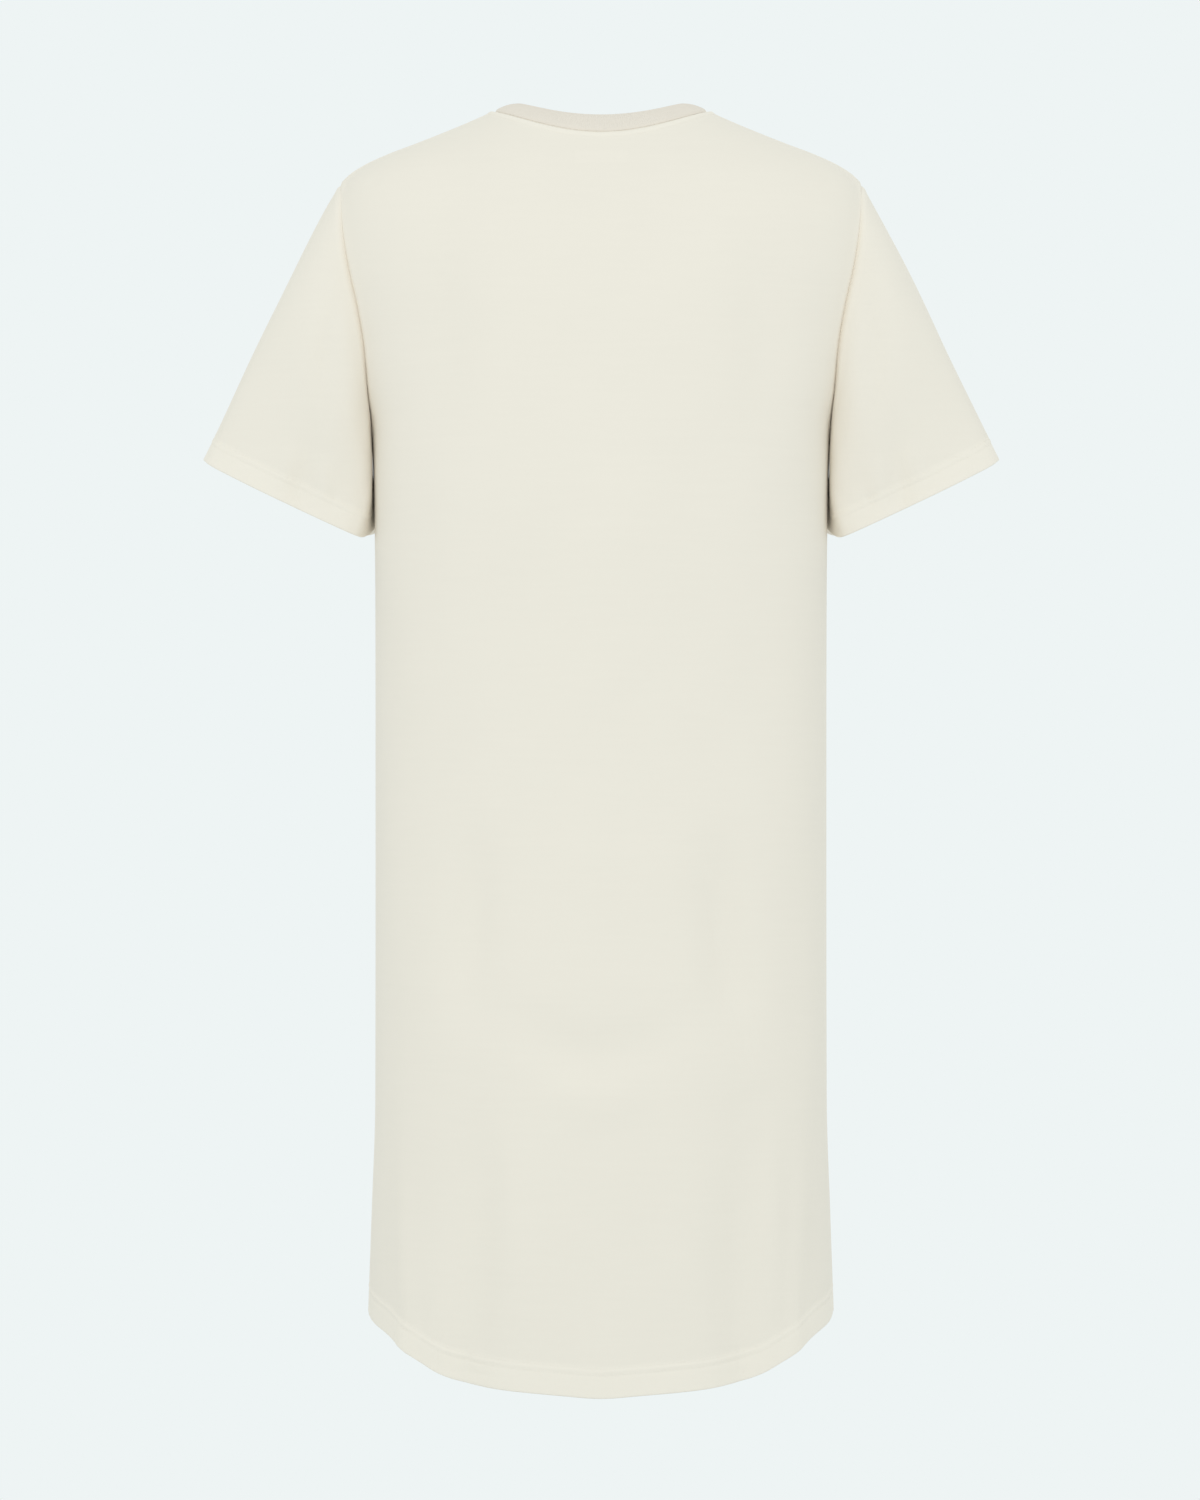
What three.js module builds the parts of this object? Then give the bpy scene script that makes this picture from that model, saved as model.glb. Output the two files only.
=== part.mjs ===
// A t-shirt dress of cotton jersey, filled out and hanging from the shoulders, with nobody in it.
// Lengths are in millimetres. The front faces -Y, the wearer's left is +X and up is +Z.
// The origin is the middle of the neck opening, level with the neck ends of the shoulder seams.

import * as THREE from 'three';

// Driving dimensions
const jerseyThickness = 1.4;
const turnUpThickness = 2.8;
const ribThickness = 2.6;
const seamGap = 0.3;
const hemTurnUp = 24;
const cuffTurnUp = 20;
const turnUpStep = 1.5;
const sideHemHeight = -925;
const hemDrop = 55.5;
const hemDropStart = -700;
const underarmHeight = -247;
const armholeMiddle = -152;
const armholeHalfHeight = 95;
const armholeHalfDepth = 44;
const frontArmholeScoop = 6;
const backNeckCurve = 1.8;
const frontNeckCurve = 1;
const ribTopHalfWidth = 63;
const ribTopBackDepth = 45;
const ribTopFrontDepth = 66;
const ribTopHeight = 5.5;
const ribBackSink = 12.3;
const ribFrontSink = 81.5;
const ribCrown = 1.6;
const labelHalfWidth = 20;
const labelTop = -37.5;
const labelBottom = -47;
const labelThickness = 1;

// A seam that folds the cloth more than this, as a cosine, has square edges and no mitre
const sharpestMitre = 0.6;
// Least value of 1 + cosine at a seam's corner, so that a sharp corner is cut back only a little
const sharpestCorner = 0.5;

// Points of two pieces count as one place when they round to the same fraction of a millimetre
const placesPerMm = 50;

// How finely the cloth is faceted
const columnsAcross = 24;
const shoulderRows = 6;
const armholeRows = 10;
const sideRows = 13;
const sleeveRows = 9;
const ribRows = 4;
const outlineSteps = 240;
// Above 1, the rows lie closer together towards the shoulder tip
const rowsToShoulderTip = 1.4;

// Shoulder seam, from the neck to the sleeve
const shoulderSeam = [
  { along: 0, x: 82, z: 0 },
  { along: 0.2, x: 105.8, z: -10.6 },
  { along: 0.5, x: 144, z: -26 },
  { along: 0.8, x: 180, z: -39.6 },
  { along: 0.93, x: 195.5, z: -48.8 },
  { along: 1, x: 201.5, z: -57 },
];

// Half width of the back at the armhole seam, by height
const armholeSeam = [
  { z: -247, x: 176.5 },
  { z: -215, x: 179 },
  { z: -184, x: 181.6 },
  { z: -153, x: 186.8 },
  { z: -123, x: 193.6 },
  { z: -92, x: 198.6 },
  { z: -57, x: 201.5 },
];

// Middle line of each panel above the underarm, by stage: 0 neckline, 1 shoulder tip, 2 underarm
const middleLine = [
  { stage: 0, backZ: -20.7, backY: 58, frontZ: -91, frontY: 80, squareness: 2 },
  { stage: 0.5, backZ: -57, backY: 80, frontZ: -121, frontY: 97, squareness: 2.08 },
  { stage: 1, backZ: -97, backY: 94, frontZ: -152, frontY: 109, squareness: 2.15 },
  { stage: 1.5, backZ: -165, backY: 107, frontZ: -198, frontY: 118, squareness: 2.2 },
  { stage: 2, backZ: -247, backY: 112, frontZ: -247, frontY: 122, squareness: 2.25 },
];

// Body sections below the underarm, by height at the side seam
const bodySections = [
  { z: -925, halfWidth: 179.3, back: 122, front: 127 },
  { z: -850, halfWidth: 176.6, back: 120, front: 124 },
  { z: -760, halfWidth: 173.8, back: 118, front: 121 },
  { z: -600, halfWidth: 173.6, back: 112, front: 120 },
  { z: -490, halfWidth: 173.6, back: 108, front: 121 },
  { z: -400, halfWidth: 173.7, back: 109, front: 124 },
  { z: -320, halfWidth: 174.2, back: 113, front: 126 },
  { z: -247, halfWidth: 176.5, back: 112, front: 122 },
];

// Rounded hem of both panels: share of the way from the middle to the side, and rise
const hemCurve = [
  { across: -0.12, rise: 2 },
  { across: 0, rise: 0 },
  { across: 0.12, rise: 2 },
  { across: 0.34, rise: 6.4 },
  { across: 0.46, rise: 10.8 },
  { across: 0.53, rise: 16 },
  { across: 0.58, rise: 22 },
  { across: 0.67, rise: 33 },
  { across: 0.72, rise: 39.2 },
  { across: 0.775, rise: 44 },
  { across: 0.85, rise: 48.6 },
  { across: 0.91, rise: 52.5 },
  { across: 1, rise: 55.5 },
];

// Largest folds of each panel: share across, heights it fades between, width and depth
const backFolds = [
  { across: 0.54, top: -60, bottom: -420, width: 0.12, depth: -4 },
  { across: -0.54, top: -60, bottom: -420, width: 0.12, depth: -4 },
  { across: 0.45, top: -640, bottom: -1300, width: 0.1, depth: -7 },
  { across: -0.45, top: -660, bottom: -1300, width: 0.1, depth: -6 },
  { across: 0.76, top: -700, bottom: -1300, width: 0.09, depth: 5 },
  { across: -0.74, top: -700, bottom: -1300, width: 0.09, depth: 5 },
];
const frontFolds = [
  { across: 0.56, top: -90, bottom: -430, width: 0.12, depth: -4 },
  { across: -0.56, top: -90, bottom: -430, width: 0.12, depth: -4 },
  { across: 0.38, top: -560, bottom: -1300, width: 0.1, depth: -7 },
  { across: -0.42, top: -600, bottom: -1300, width: 0.1, depth: -7 },
  { across: 0.68, top: -660, bottom: -1300, width: 0.1, depth: 5 },
  { across: -0.72, top: -680, bottom: -1300, width: 0.1, depth: 5 },
];

// Sleeve hem, by turn in degrees: 0 top, 90 back, 180 under, 270 front
// in is measured along the hem from its outer corner, lift squarely above the hem
const cuffLoop = [
  { turn: -18, in: 4, y: -11, lift: 0 },
  { turn: 0, in: 0, y: 0, lift: 0 },
  { turn: 18, in: 3.5, y: 11, lift: -1 },
  { turn: 36, in: 14, y: 20, lift: -2 },
  { turn: 72, in: 52, y: 30, lift: -2.5 },
  { turn: 108, in: 94, y: 31, lift: -2 },
  { turn: 132, in: 118, y: 30, lift: -1.5 },
  { turn: 150, in: 131, y: 27, lift: -1 },
  { turn: 162, in: 137.5, y: 19, lift: 0 },
  { turn: 172, in: 141, y: 2, lift: 5 },
  { turn: 180, in: 142.2, y: -30, lift: 13 },
  { turn: 190, in: 143, y: -36, lift: 10 },
  { turn: 204, in: 134, y: -44, lift: 3 },
  { turn: 234, in: 104, y: -47, lift: 0 },
  { turn: 270, in: 66, y: -42, lift: 0 },
  { turn: 306, in: 28, y: -30, lift: 0 },
  { turn: 342, in: 4, y: -11, lift: 0 },
  { turn: 360, in: 0, y: 0, lift: 0 },
  { turn: 378, in: 3.5, y: 11, lift: 0 },
];
const cuffCorner = new THREE.Vector3(307.2, 0, -269.3);
const cuffInward = new THREE.Vector3(-0.898, 0, -0.44);
const cuffAxis = new THREE.Vector3(0.44, 0, -0.898);

// Under the arm the sleeve hangs close beside the body, around this turn
const besideBody = new THREE.Vector3(0, -0.4, -0.91);
const underSideTurn = 188;
const underSideSpan = 42;

// Direction in which the sleeve leaves the armhole, by turn
const sleeveStart = [
  { turn: 0, x: 0.5, y: 0, z: -0.86, pull: 0.34 },
  { turn: 90, x: 0.5, y: 0.42, z: -0.8, pull: 0.34 },
  { turn: 126, x: 0.2, y: 0.2, z: -0.95, pull: 0.38 },
  { turn: 144, x: -0.04, y: 0.12, z: -0.99, pull: 0.42 },
  { turn: 162, x: -0.06, y: 0.1, z: -0.99, pull: 0.43 },
  { turn: 180, x: 0.07, y: -0.18, z: -0.98, pull: 0.45 },
  { turn: 192, x: 0.1, y: -0.3, z: -0.96, pull: 0.45 },
  { turn: 216, x: 0.16, y: -0.3, z: -0.97, pull: 0.42 },
  { turn: 270, x: 0.5, y: -0.45, z: -0.78, pull: 0.34 },
  { turn: 360, x: 0.5, y: 0, z: -0.86, pull: 0.34 },
];

/** Slope of one column of a table at a row, kept level at peaks so that the curve has no overshoot. */
function slopeAt(rows, key, column, index) {
  if (index === 0 || index === rows.length - 1) {
    const other = index === 0 ? 1 : index - 1;
    return (rows[other][column] - rows[index][column]) / (rows[other][key] - rows[index][key]);
  }
  const before = rows[index - 1];
  const here = rows[index];
  const after = rows[index + 1];
  const left = (here[column] - before[column]) / (here[key] - before[key]);
  const right = (after[column] - here[column]) / (after[key] - here[key]);
  return left * right <= 0 ? 0 : (2 * left * right) / (left + right);
}

/** Reads one column of a table on a smooth curve through its rows, which rise along the key. */
function read(rows, key, column, at) {
  const last = rows.length - 2;
  let index = 0;
  while (index < last && at > rows[index + 1][key]) index += 1;
  const from = rows[index];
  const to = rows[index + 1];
  const span = to[key] - from[key];
  const t = THREE.MathUtils.clamp((at - from[key]) / span, 0, 1);
  const a = slopeAt(rows, key, column, index) * span;
  const b = slopeAt(rows, key, column, index + 1) * span;
  const rise = to[column] - from[column];
  return from[column] + t * (a + t * (3 * rise - 2 * a - b + t * (a + b - 2 * rise)));
}

/** Soft bell, 1 at the middle and 0 beyond one width. */
function bell(distance, width) {
  const share = Math.min(Math.abs(distance) / width, 1);
  return (1 + Math.cos(Math.PI * share)) / 2;
}

/** How far the hem has risen at a share of the way from the middle to the side, from 0 to 1. */
function hemRise(share) {
  return read(hemCurve, 'across', 'rise', share) / hemDrop;
}

/** Where a row of a panel meets the shoulder seam, the armhole or the side seam. */
function rowEdge(stage, isBack) {
  if (stage <= 1) {
    return { x: read(shoulderSeam, 'along', 'x', stage), y: 0, z: read(shoulderSeam, 'along', 'z', stage) };
  }
  if (stage <= 2) {
    const turn = (stage - 1) * Math.PI;
    const z = armholeMiddle + armholeHalfHeight * Math.cos(turn);
    const scoop = isBack ? 0 : frontArmholeScoop * Math.sin(turn);
    return { x: read(armholeSeam, 'z', 'x', z) - scoop, y: armholeHalfDepth * Math.sin(turn), z };
  }
  const z = underarmHeight + (stage - 2) * (sideHemHeight - underarmHeight);
  return { x: read(bodySections, 'z', 'halfWidth', z), y: 0, z };
}

/** Depth, height and squareness of a row on the middle line of a panel. */
function rowMiddle(stage, isBack, edge) {
  const side = isBack ? 'back' : 'front';
  const squareness = read(middleLine, 'stage', 'squareness', Math.min(stage, 2));
  if (stage <= 2) {
    const z = read(middleLine, 'stage', side + 'Z', stage);
    return { y: read(middleLine, 'stage', side + 'Y', stage), z, squareness };
  }
  const fromTop = (hemDropStart - edge.z) / (hemDropStart - sideHemHeight - hemTurnUp - turnUpStep);
  const drop = hemDrop * THREE.MathUtils.smoothstep(fromTop, 0, 1);
  return { y: read(bodySections, 'z', side, edge.z), z: edge.z - drop, squareness };
}

/** How a row rises from the middle, 0, to its edge, 1. */
function rowRise(stage, isBack, share) {
  if (stage > 2) return hemRise(share);
  const atNeck = 1 - Math.cos((Math.PI / 2) * share) ** (isBack ? backNeckCurve : frontNeckCurve);
  const atShoulder = THREE.MathUtils.smoothstep(share, 0, 1);
  return THREE.MathUtils.lerp(atNeck, atShoulder, THREE.MathUtils.smoothstep(stage, 0, 1));
}

/** Point of a row's rounded outline at an angle from the middle, in plan. */
function outline(halfWidth, depth, squareness, angle) {
  const x = halfWidth * Math.sin(angle) ** (2 / squareness);
  const y = depth * Math.max(Math.cos(angle), 0) ** (2 / squareness);
  return { x, y };
}

/** One half of a row, as points evenly spaced from the middle line to the panel's edge. */
function halfRow(stage, isBack, columns) {
  const edge = rowEdge(stage, isBack);
  const middle = rowMiddle(stage, isBack, edge);
  const power = middle.squareness;
  const halfWidth = edge.x / (1 - (edge.y / middle.y) ** power) ** (1 / power);
  const lastAngle = Math.asin(Math.min(1, (edge.x / halfWidth) ** (power / 2)));
  const points = [];
  const lengths = [0];
  for (let step = 0; step <= outlineSteps; step += 1) {
    points.push(outline(halfWidth, middle.y, power, (lastAngle * step) / outlineSteps));
    if (step === 0) continue;
    const before = points[step - 1];
    lengths.push(lengths[step - 1] + Math.hypot(points[step].x - before.x, points[step].y - before.y));
  }
  const row = [];
  let step = 0;
  for (let column = 0; column <= columns; column += 1) {
    const share = column / columns;
    const wanted = share * lengths[outlineSteps];
    while (step < outlineSteps - 1 && lengths[step + 1] < wanted) step += 1;
    const t = (wanted - lengths[step]) / (lengths[step + 1] - lengths[step]);
    const z = middle.z + (edge.z - middle.z) * rowRise(stage, isBack, share);
    row.push(new THREE.Vector3(
      THREE.MathUtils.lerp(points[step].x, points[step + 1].x, t),
      THREE.MathUtils.lerp(points[step].y, points[step + 1].y, t),
      z,
    ));
  }
  return row;
}

/** How far the folds push the cloth out at a place on a panel. */
function foldDepth(folds, across, z) {
  let depth = 0;
  for (const fold of folds) {
    const along = (fold.top - z) / (fold.top - fold.bottom);
    if (along <= 0 || along >= 1) continue;
    depth += fold.depth * Math.sin(Math.PI * along) * bell(across - fold.across, fold.width);
  }
  return depth;
}

/** Stages of a panel's rows, from the neckline to the hem, with a close pair at the turn-up's top. */
function panelStages() {
  const stages = [];
  for (let row = 0; row < shoulderRows; row += 1) {
    stages.push(1 - (1 - row / shoulderRows) ** rowsToShoulderTip);
  }
  for (let row = 0; row < armholeRows; row += 1) stages.push(1 + row / armholeRows);
  const sideLength = underarmHeight - sideHemHeight;
  const turnUpStage = 3 - hemTurnUp / sideLength;
  for (let row = 0; row < sideRows; row += 1) {
    stages.push(2 + ((turnUpStage - 2) * row) / sideRows);
  }
  stages.push(turnUpStage - turnUpStep / sideLength);
  stages.push(turnUpStage);
  stages.push(3);
  return stages;
}

/** Outer face of the back or front, as rows of points from the wearer's right to the left. */
function panelFace(isBack) {
  const half = columnsAcross / 2;
  const outward = isBack ? 1 : -1;
  const folds = isBack ? backFolds : frontFolds;
  return panelStages().map((stage) => {
    const points = halfRow(stage, isBack, half);
    const row = [];
    for (let column = -half; column <= half; column += 1) {
      const point = points[Math.abs(column)].clone();
      const push = foldDepth(folds, column / half, point.z);
      const away = new THREE.Vector3(point.x / 2, point.y, 0).normalize();
      point.addScaledVector(away, push);
      point.x *= Math.sign(column);
      point.y *= outward;
      row.push(point);
    }
    return row;
  });
}

/** Point of the armhole seam at a turn: 0 top, 90 back, 180 under, 270 front. */
function armholePoint(turn) {
  const isBack = turn <= 180;
  const edge = rowEdge(1 + (isBack ? turn : 360 - turn) / 180, isBack);
  return new THREE.Vector3(edge.x, isBack ? edge.y : -edge.y, edge.z);
}

/** Point of the sleeve's hem at a turn. */
function cuffPoint(turn) {
  const point = cuffCorner.clone();
  point.addScaledVector(cuffInward, read(cuffLoop, 'turn', 'in', turn));
  point.addScaledVector(cuffAxis, -read(cuffLoop, 'turn', 'lift', turn));
  point.y += read(cuffLoop, 'turn', 'y', turn);
  return point;
}

/** Lengthwise line of the sleeve at a turn, from the armhole to the hem. */
function sleeveLine(turn) {
  const start = armholePoint(turn);
  const end = cuffPoint(turn);
  const reach = start.distanceTo(end);
  const pull = read(sleeveStart, 'turn', 'pull', turn) * reach;
  const leave = new THREE.Vector3(
    read(sleeveStart, 'turn', 'x', turn),
    read(sleeveStart, 'turn', 'y', turn),
    read(sleeveStart, 'turn', 'z', turn),
  ).normalize();
  const hug = bell(turn - underSideTurn, underSideSpan);
  const arrive = cuffAxis.clone().lerp(besideBody, hug).normalize();
  const afterStart = start.clone().addScaledVector(leave, pull);
  const beforeEnd = end.clone().addScaledVector(arrive, -reach / 3);
  return new THREE.CubicBezierCurve3(start, afterStart, beforeEnd, end);
}

/** Outer face of the left sleeve, as rings of points from the armhole to the hem. */
function sleeveFace() {
  const around = 2 * armholeRows;
  const lines = [];
  for (let column = around; column > 0; column -= 1) lines.push(sleeveLine((360 * column) / around));
  const rings = [];
  for (let row = 0; row <= sleeveRows + 2; row += 1) {
    rings.push(lines.map((line) => {
      const length = line.getLength();
      const turnUp = 1 - cuffTurnUp / length;
      const beforeTurnUp = turnUp - turnUpStep / length;
      const lastShares = [beforeTurnUp, turnUp, 1];
      const isLast = row >= sleeveRows;
      return line.getPointAt(isLast ? lastShares[row - sleeveRows] : (beforeTurnUp * row) / sleeveRows);
    }));
  }
  return rings;
}

/** Height of the rib's top edge above the origin, sinking towards the back or the front. */
function ribTopPoint(angle) {
  const toBack = Math.sin(angle);
  const isBack = toBack > 0;
  const sink = isBack ? ribBackSink * toBack ** 2 : ribFrontSink * -toBack;
  return new THREE.Vector3(
    ribTopHalfWidth * Math.cos(angle),
    (isBack ? ribTopBackDepth : ribTopFrontDepth) * toBack,
    ribTopHeight - sink,
  );
}

/** Outer face of the rib, as rings from the neckline to its top edge. */
function ribFace(neckline) {
  const rings = [];
  for (let row = 0; row <= ribRows; row += 1) {
    const share = row / ribRows;
    rings.push(neckline.map((seam) => {
      const depth = seam.y > 0 ? middleLine[0].backY : middleLine[0].frontY;
      const top = ribTopPoint(Math.atan2(seam.y / depth, seam.x / shoulderSeam[0].x));
      const point = seam.clone().lerp(top, share);
      point.z += ribCrown * Math.sin(Math.PI * share);
      return point;
    }));
  }
  return rings;
}

/** The same face on the other side of the body. */
function mirrored(rows) {
  return rows.map((row) => row.map((point) => point.clone().setX(-point.x)).reverse());
}

/** The neckline all round, from the left shoulder by the back, the right shoulder and the front. */
function necklineOf(backRows, frontRows) {
  const backPart = [...backRows[0]].reverse();
  const frontPart = [...frontRows[0]].reverse();
  return [...backPart.slice(0, -1), ...frontPart.slice(0, -1)];
}

/** Unit normals of a face, by vertex. */
function faceNormals(face) {
  const { rows, closed } = face;
  const columns = rows[0].length;
  const normals = rows.map((row) => row.map(() => new THREE.Vector3()));
  const across = new THREE.Vector3();
  const down = new THREE.Vector3();
  const lastColumn = closed ? columns : columns - 1;
  for (let row = 0; row + 1 < rows.length; row += 1) {
    for (let column = 0; column < lastColumn; column += 1) {
      const next = (column + 1) % columns;
      across.subVectors(rows[row + 1][next], rows[row][column]);
      down.subVectors(rows[row + 1][column], rows[row][next]);
      const normal = across.cross(down).normalize();
      for (const [r, c] of [[row, column], [row, next], [row + 1, column], [row + 1, next]]) {
        normals[r][c].add(normal);
      }
    }
  }
  for (const row of normals) for (const normal of row) normal.normalize();
  return normals;
}

/** Name of a place, the same for two pieces that meet there. */
function placeName(point) {
  return point.toArray().map((value) => Math.round(value * placesPerMm)).join(' ');
}

/** Normals at each place: that of each group of pieces that meet there, and their mean. */
function seamNormals(faces) {
  const places = new Map();
  for (const face of faces) {
    face.rows.forEach((row, r) => row.forEach((point, c) => {
      const name = placeName(point);
      if (!places.has(name)) places.set(name, {});
      const groups = places.get(name);
      groups[face.group] = (groups[face.group] || new THREE.Vector3()).add(face.normals[r][c]);
    }));
  }
  for (const groups of places.values()) {
    const mean = new THREE.Vector3();
    for (const normal of Object.values(groups)) mean.add(normal.normalize());
    groups.mean = mean.normalize();
  }
  return places;
}

/** Places of a face's sewn edge, in order, with the cloth on the left of the way along it. */
function sewnEdge(face) {
  const { rows, closed } = face;
  const last = rows[0].length - 1;
  const edge = [];
  if (!closed) for (let row = rows.length - 1; row > 0; row -= 1) edge.push([row, 0]);
  for (let column = 0; column <= last; column += 1) edge.push([0, column]);
  if (!closed) for (let row = 1; row < rows.length; row += 1) edge.push([row, last]);
  return edge;
}

/** Direction into the cloth, square to one stretch of a seam. */
function intoCloth(places, from, to) {
  const normal = places.get(placeName(from)).mean.clone().add(places.get(placeName(to)).mean);
  return normal.cross(to.clone().sub(from)).normalize();
}

/** Moves the sewn edge of a face back by half the seam's gap. */
function openSeam(face, places) {
  const { rows, closed } = face;
  const edge = sewnEdge(face);
  const points = edge.map(([row, column]) => rows[row][column].clone());
  edge.forEach(([row, column], index) => {
    const before = points[closed ? (index + edge.length - 1) % edge.length : Math.max(index - 1, 0)];
    const after = points[closed ? (index + 1) % edge.length : Math.min(index + 1, edge.length - 1)];
    const here = points[index];
    const ways = [];
    if (before !== here) ways.push(intoCloth(places, before, here));
    if (after !== here) ways.push(intoCloth(places, here, after));
    const first = ways[0];
    const second = ways[ways.length - 1];
    const shift = first.clone().add(second).divideScalar(Math.max(1 + first.dot(second), sharpestCorner));
    face.shifts[row][column].copy(shift).multiplyScalar(seamGap / 2);
  });
}

/** A closed wall of cloth whose outer face is the given one. */
function clothWall(face, places) {
  const { rows, shifts, thickness, closed } = face;
  const columns = rows[0].length;
  const outer = rows.map((row, r) => row.map((point, c) => point.clone().add(shifts[r][c])));
  const inner = outer.map((row, r) => row.map((point, c) => {
    const { mean, [face.group]: own } = places.get(placeName(rows[r][c]));
    const turn = own.dot(mean);
    const isFolded = turn < sharpestMitre;
    const depth = thickness(r) / (isFolded ? 1 : turn);
    return point.clone().addScaledVector(isFolded ? own : mean, -depth);
  }));
  face.inner = inner;
  const corners = [...outer.flat(), ...inner.flat()];
  const count = rows.length * columns;
  const triangles = [];
  const quad = (a, b, c, d) => triangles.push(a, b, d, b, c, d);
  const at = (row, column) => row * columns + (column % columns);
  const lastRow = rows.length - 1;
  const lastColumn = closed ? columns : columns - 1;
  for (let row = 0; row < lastRow; row += 1) {
    for (let column = 0; column < lastColumn; column += 1) {
      const [a, b] = [at(row, column), at(row, column + 1)];
      const [d, c] = [at(row + 1, column), at(row + 1, column + 1)];
      quad(a, b, c, d);
      triangles.push(a + count, d + count, b + count, b + count, d + count, c + count);
    }
  }
  const rim = (from, to) => quad(from + count, to + count, to, from);
  for (let column = 0; column < lastColumn; column += 1) {
    rim(at(0, column), at(0, column + 1));
    rim(at(lastRow, column + 1), at(lastRow, column));
  }
  for (let row = 0; row < lastRow && !closed; row += 1) {
    rim(at(row + 1, 0), at(row, 0));
    rim(at(row, lastColumn), at(row + 1, lastColumn));
  }
  const geometry = new THREE.BufferGeometry();
  const positions = corners.flatMap((point) => [point.x, point.y, point.z]);
  geometry.setAttribute('position', new THREE.Float32BufferAttribute(positions, 3));
  geometry.setIndex(triangles);
  geometry.computeVertexNormals();
  return geometry;
}

/** A face ready for its wall: rows of points, their normals and room for the seams' shifts. */
function face(name, group, rows, closed, thickness) {
  const ready = { name, group, rows, closed, thickness };
  ready.normals = faceNormals(ready);
  ready.shifts = rows.map((row) => row.map(() => new THREE.Vector3()));
  return ready;
}

/** Thickness of a wall whose last two rows are a turned-up hem. */
function withTurnUp(rows) {
  return (row) => (row >= rows.length - 2 ? turnUpThickness : jerseyThickness);
}

/** Place on the inner face of the back, near the middle line, at a distance across and a height. */
function insideBack(inner, x, z) {
  const middle = columnsAcross / 2;
  let row = 0;
  while (inner[row + 1][middle].z > z) row += 1;
  const down = (inner[row][middle].z - z) / (inner[row][middle].z - inner[row + 1][middle].z);
  const columnAt = (r) => {
    let column = middle;
    while (inner[r][column + 1].x < Math.abs(x)) column += 1;
    const share = (Math.abs(x) - inner[r][column].x) / (inner[r][column + 1].x - inner[r][column].x);
    return inner[r][column].clone().lerp(inner[r][column + 1], share);
  };
  const point = columnAt(row).lerp(columnAt(row + 1), down);
  return x < 0 ? point.setX(-point.x) : point;
}

/** Outer face of the label, just inside the back. */
function labelFace(inner) {
  const rows = [];
  for (const z of [labelTop, (labelTop + labelBottom) / 2, labelBottom]) {
    const row = [];
    for (const across of [-1, -0.5, 0, 0.5, 1]) {
      const point = insideBack(inner, labelHalfWidth * across, z);
      point.y -= seamGap;
      row.push(point);
    }
    rows.push(row);
  }
  return rows;
}

const ivory = 0xe9e6da;
const labelWhite = 0xf4f2ea;
const jerseyRoughness = 0.9;
const labelRoughness = 0.7;

/** A cloth piece in its own matt material. */
function clothMesh(name, geometry, colour, roughness) {
  const material = new THREE.MeshStandardMaterial({ color: colour, roughness, metalness: 0 });
  const mesh = new THREE.Mesh(geometry, material);
  mesh.name = name;
  return mesh;
}

/** The whole dress. */
function buildDress() {
  const backRows = panelFace(true);
  const frontRows = panelFace(false).map((row) => row.reverse());
  const leftRows = sleeveFace();
  const neckline = necklineOf(backRows, frontRows);
  const faces = [
    face('back', 'body', backRows, false, withTurnUp(backRows)),
    face('front', 'body', frontRows, false, withTurnUp(frontRows)),
    face('sleeve_left', 'sleeve', leftRows, true, withTurnUp(leftRows)),
    face('sleeve_right', 'sleeve', mirrored(leftRows), true, withTurnUp(leftRows)),
    face('neck_rib', 'rib', ribFace(neckline), true, () => ribThickness),
  ];
  const places = seamNormals(faces);
  for (const each of faces) openSeam(each, places);
  const dress = new THREE.Group();
  for (const each of faces) {
    dress.add(clothMesh(each.name, clothWall(each, places), ivory, jerseyRoughness));
  }
  const label = face('neck_label', 'label', labelFace(faces[0].inner), false, () => labelThickness);
  const labelWall = clothWall(label, seamNormals([label]));
  dress.add(clothMesh(label.name, labelWall, labelWhite, labelRoughness));
  return dress;
}

export default buildDress();
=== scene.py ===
"""Ivory t-shirt dress in cotton jersey, filled out and hanging from its shoulders.

Every piece of cloth is a thin closed shell on the form of its solid. Sizes are in millimetres
until a mesh is made. The front faces -Y, the wearer's left is +X, and heights are measured from
the neck ends of the shoulder seams.
"""

from __future__ import annotations

import logging
import math
from dataclasses import dataclass, field
from enum import Enum

import bpy
import numpy as np
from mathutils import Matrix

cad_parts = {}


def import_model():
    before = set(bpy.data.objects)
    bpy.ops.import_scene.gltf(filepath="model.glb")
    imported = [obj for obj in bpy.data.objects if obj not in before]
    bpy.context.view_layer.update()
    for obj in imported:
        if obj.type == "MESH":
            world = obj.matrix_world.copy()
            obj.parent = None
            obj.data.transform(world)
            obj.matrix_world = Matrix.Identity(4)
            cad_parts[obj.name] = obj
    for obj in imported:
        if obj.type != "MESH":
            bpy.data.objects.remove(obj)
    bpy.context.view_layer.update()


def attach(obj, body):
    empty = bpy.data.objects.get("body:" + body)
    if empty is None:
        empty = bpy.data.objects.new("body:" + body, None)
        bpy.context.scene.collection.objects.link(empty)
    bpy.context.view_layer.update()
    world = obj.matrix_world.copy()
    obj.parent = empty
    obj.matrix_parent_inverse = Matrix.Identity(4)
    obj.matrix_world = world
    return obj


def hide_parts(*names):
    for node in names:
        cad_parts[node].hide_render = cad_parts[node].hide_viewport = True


LOG = logging.getLogger("dress")
MM = 0.001
BODY = "root"
CLOTH_UV = "cloth"
LAYERS = "layers"
THREAD_UP = "thread_up"
RIB_PLACE = "rib_place"
MIRROR = np.array([-1, 1, 1])
THINNEST = 0.12
FOLD_STEPS = 40
FOLD_TAPER = 1.4


class Side(Enum):
    """The two panels of the body, by the direction that they face along Y."""

    BACK = 1
    FRONT = -1


class Hand(Enum):
    """The two sleeves, by the wearer's side along X."""

    LEFT = 1
    RIGHT = -1


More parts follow.
